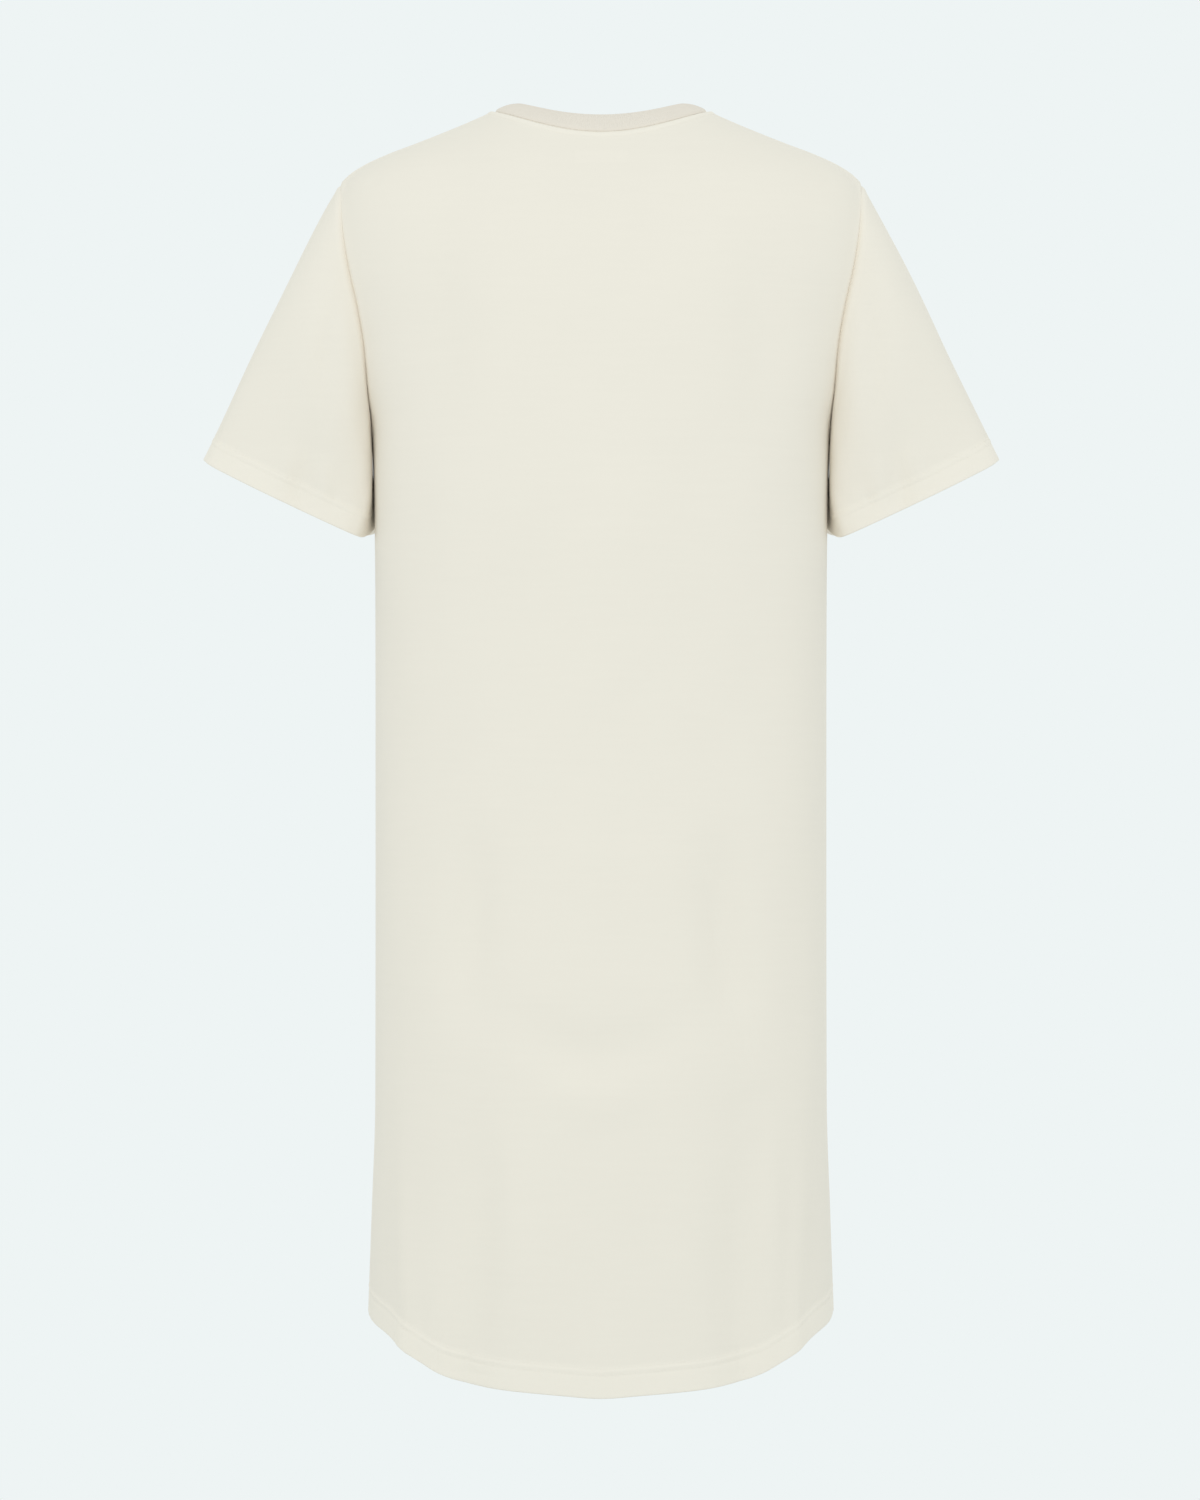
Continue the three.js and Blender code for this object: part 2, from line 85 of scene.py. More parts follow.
class Table:
    """Short table with named columns, read on a smooth curve through its rows."""

    def __init__(self, names: str, *rows: tuple[float, ...]) -> None:
        """Sorts the rows and works out their slopes.

        Args:
            names: Names of the columns, the key first.
            rows: One tuple for each row.
        """
        values = np.array(sorted(rows), float).T
        self.key = values[0]
        self.columns = dict(zip(names.split()[1:], values[1:]))
        self.slopes = {name: self._slopes(column) for name, column in self.columns.items()}

    def _slopes(self, column: np.ndarray) -> np.ndarray:
        """Slope of a column at each row, level at peaks so that the curve has no overshoot."""
        steps = np.diff(column) / np.diff(self.key)
        inner = np.zeros(len(column) - 2)
        same_way = steps[:-1] * steps[1:] > 0
        total = steps[:-1] + steps[1:]
        inner[same_way] = 2 * steps[:-1][same_way] * steps[1:][same_way] / total[same_way]
        return np.concatenate([steps[:1], inner, steps[-1:]])

    def read(self, name: str, at: float | np.ndarray) -> np.ndarray:
        """Reads a column.

        Args:
            name: Name of the column.
            at: Key values to read it at.

        Returns:
            The column's values there.
        """
        column, slope = self.columns[name], self.slopes[name]
        place = np.clip(np.searchsorted(self.key, at, side="right") - 1, 0, len(self.key) - 2)
        span = self.key[place + 1] - self.key[place]
        t = np.clip((at - self.key[place]) / span, 0, 1)
        leave, arrive = slope[place] * span, slope[place + 1] * span
        rise = column[place + 1] - column[place]
        bend = 3 * rise - 2 * leave - arrive + t * (leave + arrive - 2 * rise)
        return column[place] + t * (leave + t * bend)


def smoothstep(value: np.ndarray) -> np.ndarray:
    """Soft step from 0 to 1."""
    t = np.clip(value, 0, 1)
    return t * t * (3 - 2 * t)


def bell(distance: np.ndarray, width: float) -> np.ndarray:
    """Soft bell, 1 at the middle and 0 beyond one width."""
    return (1 + np.cos(np.pi * np.minimum(np.abs(distance) / width, 1))) / 2


def unit(vectors: np.ndarray) -> np.ndarray:
    """The vectors at length 1."""
    return vectors / np.maximum(np.linalg.norm(vectors, axis=-1, keepdims=True), 1e-12)


@dataclass(frozen=True)
class Spread:
    """Places along a strip of cloth, closer together near its ends.

    The first distances are counted from the start and the last ones from the end, both rising.
    """

    first: tuple[float, ...]
    last: tuple[float, ...]
    between: int

    def count(self) -> int:
        """Number of places."""
        return len(self.first) + self.between + len(self.last)

    def places(self, length: float) -> np.ndarray:
        """Distances from the start of a strip of the given length."""
        end = length - self.last[-1]
        middle = np.linspace(self.first[-1], end, self.between + 2)[1:-1]
        return np.concatenate([self.first, middle, length - np.array(self.last[::-1])])


def lengths_along(points: np.ndarray, axis: int) -> np.ndarray:
    """Distance of each point of a grid from the grid's first row or column, along the cloth."""
    steps = np.linalg.norm(np.diff(points, axis=axis), axis=-1)
    start = np.zeros_like(np.take(steps, [0], axis=axis))
    return np.concatenate([start, np.cumsum(steps, axis=axis)], axis=axis)


def wrap(grid: np.ndarray, closed: bool) -> np.ndarray:
    """The grid with its first column again at its end, where it is closed."""
    return np.concatenate([grid, grid[:, :1]], axis=1) if closed else grid


def grid_normals(points: np.ndarray, closed: bool, outward: int) -> np.ndarray:
    """Unit normals of a grid of points, from the areas of the quads round each point.

    Args:
        points: Rows of points.
        closed: Whether the last column joins the first.
        outward: 1 where across times down points out of the cloth, or else -1.

    Returns:
        A normal for each point.
    """
    grid = wrap(points, closed)
    area = np.cross(grid[1:, 1:] - grid[:-1, :-1], grid[1:, :-1] - grid[:-1, 1:])
    total = np.zeros_like(grid)
    for rows in (slice(None, -1), slice(1, None)):
        for columns in (slice(None, -1), slice(1, None)):
            total[rows, columns] += area
    if closed:
        total[:, 0] += total[:, -1]
        total = total[:, :-1]
    return unit(total) * outward


def even_out(normals: np.ndarray, rounds: int) -> np.ndarray:
    """Blends each row's normals with its neighbours', so that narrow rows keep their order."""
    for _ in range(rounds):
        blended = normals.copy()
        blended[1:-1] += (normals[2:] + normals[:-2]) / 2
        normals = unit(blended)
    return normals


@dataclass(frozen=True)
class Fold:
    """Soft trough or ridge in the cloth, along a path.

    The path holds places across and up the cloth. Depth is positive for a ridge.
    """

    path: tuple[tuple[float, float], ...]
    width: float
    depth: float
    runs_off: bool = False

    def push(self, across: np.ndarray, height: np.ndarray) -> np.ndarray:
        """How far the fold moves the cloth out.

        Args:
            across: Places across the cloth.
            height: Places up the cloth.

        Returns:
            The move at each place.
        """
        knots = np.array(self.path, float)
        share = np.linspace(0, 1, len(knots))
        steps = np.linspace(0, 1, FOLD_STEPS)
        line = Table("share across height", *zip(share, knots[:, 0], knots[:, 1]))
        line_across, line_height = line.read("across", steps), line.read("height", steps)
        nearest = np.full(across.shape, np.inf)
        along = np.zeros(across.shape)
        for step, x, z in zip(steps, line_across, line_height):
            distance = (across - x) ** 2 + (height - z) ** 2
            closer = distance < nearest
            nearest[closer] = distance[closer]
            along[closer] = step
        taper = np.sin(np.pi / 2 * along) if self.runs_off else np.sin(np.pi * along)
        fade = np.clip(taper, 0, 1) ** FOLD_TAPER
        return self.depth * np.exp(-nearest / self.width**2) * fade


def all_folds(folds: tuple[Fold, ...], across: np.ndarray, height: np.ndarray) -> np.ndarray:
    """Sum of the folds' moves at each place."""
    return sum((fold.push(across, height) for fold in folds), np.zeros(across.shape))


@dataclass(frozen=True)
class Unevenness:
    """Slight hand of the cloth: long waves in many directions, from a fixed seed."""

    seed: int
    height: float
    shortest: float
    longest: float
    waves: int = 14
    turn_spread: float = 0.5

    def push(self, across: np.ndarray, height: np.ndarray) -> np.ndarray:
        """How far the waves move the cloth out, at places across and up it."""
        draw = np.random.default_rng(self.seed)
        total = np.zeros(across.shape)
        for _ in range(self.waves):
            length = draw.uniform(self.shortest, self.longest)
            turn = draw.normal(0, self.turn_spread)
            phase = draw.uniform(0, 2 * np.pi)
            way = across * math.cos(turn) + height * math.sin(turn)
            total += np.sin(2 * np.pi * way / length + phase)
        return total * self.height / math.sqrt(self.waves)


@dataclass(frozen=True)
class Seam:
    """Cross-section of the cloth beside a sewn edge: a groove and the allowance under it."""

    groove: float = 0.9
    groove_width: float = 1.3
    ridge: float = 0.35
    ridge_at: float = 4.0
    ridge_width: float = 2.6
    allowance: float = 6
    allowance_tone: float = 0.6

    def profile(self, distance: np.ndarray) -> np.ndarray:
        """Move of the cloth at a distance from the seam."""
        dip = -self.groove * np.exp(-((distance / self.groove_width) ** 2))
        swell = self.ridge * np.exp(-(((distance - self.ridge_at) / self.ridge_width) ** 2))
        return dip + swell

    def layers(self, doubled: np.ndarray, distance: np.ndarray) -> np.ndarray:
        """How far the cloth counts as doubled, with the allowance beside the seam."""
        beside = self.allowance_tone * np.exp(-((distance / self.allowance) ** 4))
        return np.maximum(doubled, beside)


@dataclass(frozen=True)
class TwinNeedle:
    """Two rows of topstitching, parallel to an edge, which pull the cloth in a little."""

    rows: tuple[float, float]
    groove: float = 0.3
    groove_width: float = 1.2
    puff: float = 0.3

    def profile(self, distance: np.ndarray) -> np.ndarray:
        """Move of the cloth at a distance from the edge."""
        total = np.zeros(distance.shape)
        for row in self.rows:
            total -= self.groove * np.exp(-(((distance - row) / self.groove_width) ** 2))
        middle = sum(self.rows) / 2
        half = abs(self.rows[1] - self.rows[0]) / 2
        return total + self.puff * np.exp(-(((distance - middle) / half) ** 2))


@dataclass(frozen=True)
class DressForm:
    """The dress's outline from the front, side and top."""

    underarm_height: float = -247
    side_hem_height: float = -925
    hem_drop: float = 55.5
    hem_drop_start: float = -700
    hem_turn_up: float = 24
    turn_up_step: float = 1.5
    armhole_middle: float = -152
    armhole_half_height: float = 95
    armhole_half_depth: float = 44
    front_scoop: float = 6
    back_neck_curve: float = 1.8
    front_neck_curve: float = 1.0
    cuff_corner: tuple[float, float, float] = (307.2, 0, -269.3)
    cuff_inward: tuple[float, float, float] = (-0.898, 0, -0.44)
    cuff_axis: tuple[float, float, float] = (0.44, 0, -0.898)
    beside_body: tuple[float, float, float] = (0, -0.4, -0.91)
    under_side_turn: float = 188
    under_side_span: float = 42
    rib_half_width: float = 63
    rib_back_depth: float = 45
    rib_front_depth: float = 66
    rib_height: float = 5.5
    rib_back_sink: float = 12.3
    rib_front_sink: float = 81.5
    rib_crown: float = 1.6
    outline_steps: int = 400
    line_steps: int = 200
    shoulder: Table = field(default_factory=lambda: Table(
        "along x z",
        (0, 82, 0), (0.2, 105.8, -10.6), (0.5, 144, -26), (0.8, 180, -39.6), (0.93, 195.5, -48.8),
        (1, 201.5, -57),
    ))
    armhole: Table = field(default_factory=lambda: Table(
        "z x",
        (-247, 176.5), (-215, 179), (-184, 181.6), (-153, 186.8), (-123, 193.6), (-92, 198.6),
        (-57, 201.5),
    ))
    middle: Table = field(default_factory=lambda: Table(
        "stage back_z back_y front_z front_y squareness",
        (0, -20.7, 58, -91, 80, 2), (0.5, -57, 80, -121, 97, 2.08), (1, -97, 94, -152, 109, 2.15),
        (1.5, -165, 107, -198, 118, 2.2), (2, -247, 112, -247, 122, 2.25),
    ))
    body: Table = field(default_factory=lambda: Table(
        "z half_width back_y front_y",
        (-925, 179.3, 122, 127), (-850, 176.6, 120, 124), (-760, 173.8, 118, 121),
        (-600, 173.6, 112, 120), (-490, 173.6, 108, 121), (-400, 173.7, 109, 124),
        (-320, 174.2, 113, 126), (-247, 176.5, 112, 122),
    ))
    hem: Table = field(default_factory=lambda: Table(
        "across rise",
        (-0.12, 2), (0, 0), (0.12, 2), (0.34, 6.4), (0.46, 10.8), (0.53, 16), (0.58, 22),
        (0.67, 33), (0.72, 39.2), (0.775, 44), (0.85, 48.6), (0.91, 52.5), (1, 55.5),
    ))
    cuff: Table = field(default_factory=lambda: Table(
        "turn inward y lift",
        (-18, 4, -11, 0), (0, 0, 0, 0), (18, 3.5, 11, -1), (36, 14, 20, -2), (72, 52, 30, -2.5),
        (108, 94, 31, -2), (132, 118, 30, -1.5), (150, 131, 27, -1), (162, 137.5, 19, 0),
        (172, 141, 2, 5), (180, 142.2, -30, 13), (190, 143, -36, 10), (204, 134, -44, 3),
        (234, 104, -47, 0), (270, 66, -42, 0), (306, 28, -30, 0), (342, 4, -11, 0), (360, 0, 0, 0),
        (378, 3.5, 11, 0),
    ))
    sleeve: Table = field(default_factory=lambda: Table(
        "turn x y z pull",
        (0, 0.5, 0, -0.86, 0.34), (90, 0.5, 0.42, -0.8, 0.34), (126, 0.2, 0.2, -0.95, 0.38),
        (144, -0.04, 0.12, -0.99, 0.42), (162, -0.06, 0.1, -0.99, 0.43),
        (180, 0.07, -0.18, -0.98, 0.45), (192, 0.1, -0.3, -0.96, 0.45),
        (216, 0.16, -0.3, -0.97, 0.42), (270, 0.5, -0.45, -0.78, 0.34), (360, 0.5, 0, -0.86, 0.34),
    ))

    def row_edges(self, side: Side, stages: np.ndarray) -> tuple[np.ndarray, ...]:
        """Where rows of a panel meet the shoulder seam, the armhole or the side seam.

        Args:
            side: The panel.
            stages: 0 at the neck, 1 at the shoulder tip, 2 at the underarm and 3 at the hem.

        Returns:
            Distance from the middle, depth and height of each row's end.
        """
        turn = np.clip(stages - 1, 0, 1) * np.pi
        armhole_z = self.armhole_middle + self.armhole_half_height * np.cos(turn)
        scoop = 0 if side is Side.BACK else self.front_scoop * np.sin(turn)
        armhole_x = self.armhole.read("x", armhole_z) - scoop
        side_z = self.underarm_height + (stages - 2) * (self.side_hem_height - self.underarm_height)
        side_x = self.body.read("half_width", side_z)
        parts = [stages > 2, stages <= 1]
        x = np.select(parts, [side_x, self.shoulder.read("x", stages)], armhole_x)
        z = np.select(parts, [side_z, self.shoulder.read("z", stages)], armhole_z)
        return x, self.armhole_half_depth * np.sin(turn), z

    def row_middles(
        self, side: Side, stages: np.ndarray, edge_z: np.ndarray,
    ) -> tuple[np.ndarray, ...]:
        """Depth, height and squareness of rows on the middle line of a panel."""
        name = side.name.lower()
        above, below = np.minimum(stages, 2), stages > 2
        turn_up_top = self.side_hem_height + self.hem_turn_up + self.turn_up_step
        fall = (self.hem_drop_start - edge_z) / (self.hem_drop_start - turn_up_top)
        low_z = edge_z - self.hem_drop * smoothstep(fall)
        body_y, upper_y = self.body.read(name + "_y", edge_z), self.middle.read(name + "_y", above)
        height = np.where(below, low_z, self.middle.read(name + "_z", above))
        return np.where(below, body_y, upper_y), height, self.middle.read("squareness", above)

    def row_rise(self, side: Side, stages: np.ndarray, shares: np.ndarray) -> np.ndarray:
        """How rows rise from the middle, 0, to their edge, 1."""
        curve = self.back_neck_curve if side is Side.BACK else self.front_neck_curve
        at_neck = 1 - np.cos(np.pi / 2 * shares) ** curve
        at_shoulder = smoothstep(shares)
        blend = smoothstep(stages)[:, None]
        above = at_neck * (1 - blend) + at_shoulder * blend
        at_hem = self.hem.read("rise", shares) / self.hem_drop
        return np.where(stages[:, None] > 2, at_hem, above)

    def panel(self, side: Side, stages: np.ndarray, spread: Spread) -> np.ndarray:
        """Outer face of the back or front, before its folds.

        Args:
            side: The panel.
            stages: Stage of each row.
            spread: Places of the columns along half of a row.

        Returns:
            Rows of points, from the right edge to the left one.
        """
        edge_x, edge_y, edge_z = self.row_edges(side, stages)
        depth, middle_z, power = self.row_middles(side, stages, edge_z)
        half_width = edge_x / (1 - (edge_y / depth) ** power) ** (1 / power)
        last = np.arcsin(np.minimum(1, (edge_x / half_width) ** (power / 2)))
        angle = last[:, None] * np.linspace(0, 1, self.outline_steps)
        bend = 2 / power[:, None]
        outline = np.stack([
            half_width[:, None] * np.sin(angle) ** bend,
            depth[:, None] * np.clip(np.cos(angle), 0, 1) ** bend,
        ], axis=-1)
        lengths = lengths_along(outline, axis=1)
        half = np.zeros((len(stages), spread.count(), 3))
        shares = np.zeros(half.shape[:2])
        for row, along in enumerate(lengths):
            places = spread.places(along[-1])
            shares[row] = places / along[-1]
            half[row, :, 0] = np.interp(places, along, outline[row, :, 0])
            half[row, :, 1] = np.interp(places, along, outline[row, :, 1]) * side.value
        rise = self.row_rise(side, stages, shares)
        half[:, :, 2] = middle_z[:, None] + (edge_z - middle_z)[:, None] * rise
        other = half[:, :0:-1] * MIRROR
        return np.concatenate([other, half], axis=1)

    def armhole_loop(self, turns: np.ndarray) -> np.ndarray:
        """Points of the armhole seam, by turn in degrees: 0 top, 90 back, 180 under, 270 front."""
        back = np.stack(self.row_edges(Side.BACK, 1 + turns / 180), axis=-1)
        front = np.stack(self.row_edges(Side.FRONT, 1 + (360 - turns) / 180), axis=-1)
        front[:, 1] *= -1
        return np.where(turns[:, None] <= 180, back, front)

    def cuff_loop(self, turns: np.ndarray) -> np.ndarray:
        """Points of the sleeve's hem, by turn in degrees."""
        inward = self.cuff.read("inward", turns)[:, None]
        lift = self.cuff.read("lift", turns)[:, None]
        loop = np.array(self.cuff_corner) + inward * np.array(self.cuff_inward)
        loop = loop - lift * np.array(self.cuff_axis)
        loop[:, 1] += self.cuff.read("y", turns)
        return loop

    def sleeve_face(self, turns: np.ndarray, spread: Spread) -> np.ndarray:
        """Outer face of the left sleeve, before its folds.

        Args:
            turns: Turn of each column, in degrees.
            spread: Places of the rows from the armhole to the hem.

        Returns:
            Rows of points.
        """
        start, end = self.armhole_loop(turns), self.cuff_loop(turns)
        reach = np.linalg.norm(end - start, axis=1, keepdims=True)
        leave = unit(np.stack([self.sleeve.read(axis, turns) for axis in "xyz"], axis=-1))
        hug = bell(turns - self.under_side_turn, self.under_side_span)[:, None]
        arrive = unit(np.array(self.cuff_axis) * (1 - hug) + np.array(self.beside_body) * hug)
        after_start = start + leave * self.sleeve.read("pull", turns)[:, None] * reach
        before_end = end - arrive * reach / 3
        t = np.linspace(0, 1, self.line_steps)[:, None, None]
        fine = (
            start * (1 - t) ** 3
            + 3 * after_start * t * (1 - t) ** 2
            + 3 * before_end * t**2 * (1 - t)
            + end * t**3
        )
        along = lengths_along(fine, axis=0)
        face = np.zeros((spread.count(), len(turns), 3))
        for column in range(len(turns)):
            line = along[:, column]
            places = spread.places(line[-1])
            for axis in range(3):
                face[:, column, axis] = np.interp(places, line, fine[:, column, axis])
        return face

    def rib_top(self, angle: np.ndarray) -> np.ndarray:
        """Points of the rib's top edge, by angle from the wearer's left."""
        to_back = np.sin(angle)
        is_back = to_back > 0
        sink = np.where(is_back, self.rib_back_sink * to_back**2, -self.rib_front_sink * to_back)
        depth = np.where(is_back, self.rib_back_depth, self.rib_front_depth)
        return np.stack([
            self.rib_half_width * np.cos(angle), depth * to_back, self.rib_height - sink,
        ], axis=-1)

    def rib_face(self, neckline: np.ndarray, shares: np.ndarray) -> np.ndarray:
        """Outer face of the rib, as rings from the neckline to its top edge."""
        back_y, front_y = self.middle.read("back_y", 0), self.middle.read("front_y", 0)
        depth = np.where(neckline[:, 1] > 0, back_y, front_y)
        width = self.shoulder.read("x", 0)
        top = self.rib_top(np.arctan2(neckline[:, 1] / depth, neckline[:, 0] / width))
        share = shares[:, None, None]
        face = neckline * (1 - share) + top * share
        face[:, :, 2] += self.rib_crown * np.sin(np.pi * shares)[:, None]
        return face


def soften(points: np.ndarray, mask: np.ndarray, rounds: int, pace: float = 0.5) -> np.ndarray:
    """Evens out the rows of a grid of points.

    Args:
        points: Rows of points.
        mask: How freely each point moves, from 0 to 1.
        rounds: How many times each row is drawn towards the middle of its neighbours.
        pace: How much of the way it goes each time.

    Returns:
        The evened points.
    """
    for _ in range(rounds):
        pull = (points[:-2] + points[2:]) / 2 - points[1:-1]
        points = points.copy()
        points[1:-1] += pace * mask[1:-1, :, None] * pull
    return points


def add_object(name: str, data: bpy.types.ID) -> bpy.types.Object:
    """Puts data in the scene as a new object."""
    made = bpy.data.objects.new(name, data)
    bpy.context.scene.collection.objects.link(made)
    return made


def add_vectors(mesh: bpy.types.Mesh, name: str, vectors: np.ndarray) -> None:
    """Gives each point of a mesh a named vector."""
    named = mesh.attributes.new(name, "FLOAT_VECTOR", "POINT")
    named.data.foreach_set("vector", vectors.ravel())


@dataclass
class ClothFace:
    """Outer face of a piece of cloth, with what its shell needs."""

    points: np.ndarray
    normals: np.ndarray
    thickness: np.ndarray
    uv: np.ndarray
    layers: np.ndarray
    closed: bool
    outward: int

    def quads(self, grid: np.ndarray) -> np.ndarray:
        """Values of a wrapped grid at the four corners of each quad, facing out."""
        corners = [grid[:-1, :-1], grid[:-1, 1:], grid[1:, 1:], grid[1:, :-1]]
        if self.outward < 0:
            corners.reverse()
        return np.stack([corner.reshape(-1, *grid.shape[2:]) for corner in corners], axis=1)

    def rim(self, grid: np.ndarray) -> np.ndarray:
        """Values of a wrapped grid at the ends of each step along the open edges."""
        pairs = [(grid[0, :-1], grid[0, 1:]), (grid[-1, 1:], grid[-1, :-1])]
        if not self.closed:
            pairs += [(grid[1:, 0], grid[:-1, 0]), (grid[:-1, -1], grid[1:, -1])]
        joined = np.concatenate([np.stack(pair, axis=1) for pair in pairs])
        return joined if self.outward > 0 else joined[:, ::-1]

    def build(self, name: str, material: bpy.types.Material) -> bpy.types.Object:
        """Makes the closed shell.

        Args:
            name: Name of the piece.
            material: Its material.

        Returns:
            The new object.
        """
        inner = self.points - self.normals * self.thickness[..., None]
        corners = np.concatenate([self.points.reshape(-1, 3), inner.reshape(-1, 3)]) * MM
        count = self.thickness.size
        index = wrap(np.arange(count).reshape(self.thickness.shape), self.closed)
        outer, rim = self.quads(index), self.rim(index)
        side = np.concatenate([rim + count, rim[:, ::-1]], axis=1)
        faces = np.concatenate([outer, outer[:, ::-1] + count, side])
        mesh = bpy.data.meshes.new(name)
        mesh.from_pydata(corners.tolist(), [], faces.tolist())
        uv = wrap(self.uv, self.closed)
        if self.closed:
            uv[:, -1, 0] = 2 * uv[:, -2, 0] - uv[:, -3, 0]
        outer_uv, rim_uv = self.quads(uv), self.rim(uv)
        side_uv = np.concatenate([rim_uv, rim_uv[:, ::-1]], axis=1)
        loops = np.concatenate([outer_uv, outer_uv[:, ::-1], side_uv]).reshape(-1)
        mesh.uv_layers.new(name=CLOTH_UV).data.foreach_set("uv", loops * MM)
        layers = mesh.attributes.new(LAYERS, "FLOAT", "POINT")
        layers.data.foreach_set("value", np.tile(self.layers.ravel(), 2))
        mesh.polygons.foreach_set("use_smooth", np.ones(len(faces), bool))
        mesh.materials.append(material)
        mesh.validate()
        mesh.update()
        return add_object(name, mesh)

    def area(self) -> float:
        """Area of the outer face, in square metres."""
        points = wrap(self.points, self.closed)
        one = np.cross(points[1:, :-1] - points[:-1, :-1], points[:-1, 1:] - points[:-1, :-1])
        two = np.cross(points[1:, :-1] - points[1:, 1:], points[:-1, 1:] - points[1:, 1:])
        total = np.linalg.norm(one, axis=-1).sum() + np.linalg.norm(two, axis=-1).sum()
        return float(total / 2 * MM * MM)


def edge_roll(distance: np.ndarray, radius: float) -> np.ndarray:
    """How far each face of a wall curves in towards its rounded edge."""
    inside = np.clip(radius - distance, 0, radius)
    return radius - np.sqrt(radius**2 - inside**2)


@dataclass(frozen=True)
class TurnedHem:
    """Wall of a piece of cloth: double below the turn-up's edge and rounded at its fold."""

    wall: float
    edge: float
    step: float = 1.2
    roundness: float = 0.95

    def at(self, to_hem: np.ndarray) -> tuple[np.ndarray, np.ndarray, np.ndarray]:
        """Roll of the outer face, thickness and share of doubling, by distance to the fold."""
        roll = edge_roll(to_hem, self.wall * self.roundness)
        single = np.clip((to_hem - self.edge) / self.step, 0, 1)
        return roll, np.maximum(self.wall * (2 - single) - 2 * roll, THINNEST), 1 - single


@dataclass(frozen=True)
class Pucker:
    """Small uneven waves that topstitching draws into a hem."""

    length: float
    swing: float
    swing_length: float
    by_row: float
    by_edge: float
    height: float = 0.22
    edge_share: float = 0.6

    def push(self, across: np.ndarray, to_hem: np.ndarray, row: float) -> np.ndarray:
        """Move of the cloth across the hem, by its distance to the fold and to a row."""
        swing = self.swing * np.sin(across / self.swing_length)
        wave = np.sin(2 * np.pi * across / self.length + swing)
        near_row = np.exp(-(((to_hem - row) / self.by_row) ** 2))
        near_edge = np.exp(-((to_hem / self.by_edge) ** 2))
        return self.height * wave * (near_row + self.edge_share * near_edge)


class Value:
    """Output of a node that takes part in Python arithmetic."""

    def __init__(self, tree: Tree, socket: bpy.types.NodeSocket) -> None:
        """Keeps the tree and the socket."""
        self.tree = tree
        self.socket = socket

    def _math(self, operation: str, *values: Value | float) -> Value:
        """A Math node on the values."""
        return self.tree.node("ShaderNodeMath", {"operation": operation}, dict(enumerate(values)))

    def __add__(self, other: Value | float) -> Value:
        """Sum."""
        return self._math("ADD", self, other)

    __radd__ = __add__

    def __mul__(self, other: Value | float) -> Value:
        """Product."""
        return self._math("MULTIPLY", self, other)

    __rmul__ = __mul__

    def __sub__(self, other: Value | float) -> Value:
        """Difference."""
        return self._math("SUBTRACT", self, other)

    def __rsub__(self, other: Value | float) -> Value:
        """Difference from a number."""
        return self._math("SUBTRACT", other, self)

    def __truediv__(self, other: Value | float) -> Value:
        """Quotient."""
        return self._math("DIVIDE", self, other)

    def __pow__(self, other: Value | float) -> Value:
        """Power."""
        return self._math("POWER", self, other)

    def __abs__(self) -> Value:
        """Size without its sign."""
        return self._math("ABSOLUTE", self)

    def sine(self) -> Value:
        """Sine of an angle."""
        return self._math("SINE", self)

    def cosine(self) -> Value:
        """Cosine of an angle."""
        return self._math("COSINE", self)

    def between(self, low: float, high: float, soft: float) -> Value:
        """1 between two numbers and 0 outside them, with soft sides."""
        rise = self.tree.soft_step(self, low - soft, low + soft)
        return rise - self.tree.soft_step(self, high - soft, high + soft)


class Tree:
    """Node tree of a material or of Geometry Nodes."""

    def __init__(self, tree: bpy.types.NodeTree) -> None:
        """Keeps Blender's own tree."""
        self.tree = tree

    def node(
        self,
        kind: str,
        settings: dict[str, object] | None = None,
        inputs: dict[str | int, object] | None = None,
        output: str | int = 0,
    ) -> Value:
        """Adds a node.

        Args:
            kind: The node's type.
            settings: Its own settings.
            inputs: Values or links of its sockets, by name or number.
            output: Which of its outputs to return.

        Returns:
            The output, ready for arithmetic.
        """
        node = self.tree.nodes.new(kind)
        for name, value in (settings or {}).items():
            setattr(node, name, value)
        for name, value in (inputs or {}).items():
            if isinstance(value, Value):
                self.tree.links.new(value.socket, node.inputs[name])
            else:
                node.inputs[name].default_value = value
        return Value(self, node.outputs[output])

    def soft_step(self, value: Value, low: float, high: float) -> Value:
        """Soft step from 0 at low to 1 at high."""
        inputs = {"Value": value, "From Min": low, "From Max": high}
        return self.node("ShaderNodeMapRange", {"interpolation_type": "SMOOTHSTEP"}, inputs)

    def scaled(self, vector: object, amount: Value) -> Value:
        """A vector or colour times an amount."""
        inputs = {0: vector, "Scale": amount}
        return self.node("ShaderNodeVectorMath", {"operation": "SCALE"}, inputs)

    def parts(self, vector: Value) -> tuple[Value, ...]:
        """X, Y and Z of a vector."""
        split = self.node("ShaderNodeSeparateXYZ", inputs={0: vector})
        return tuple(Value(self, socket) for socket in split.socket.node.outputs)


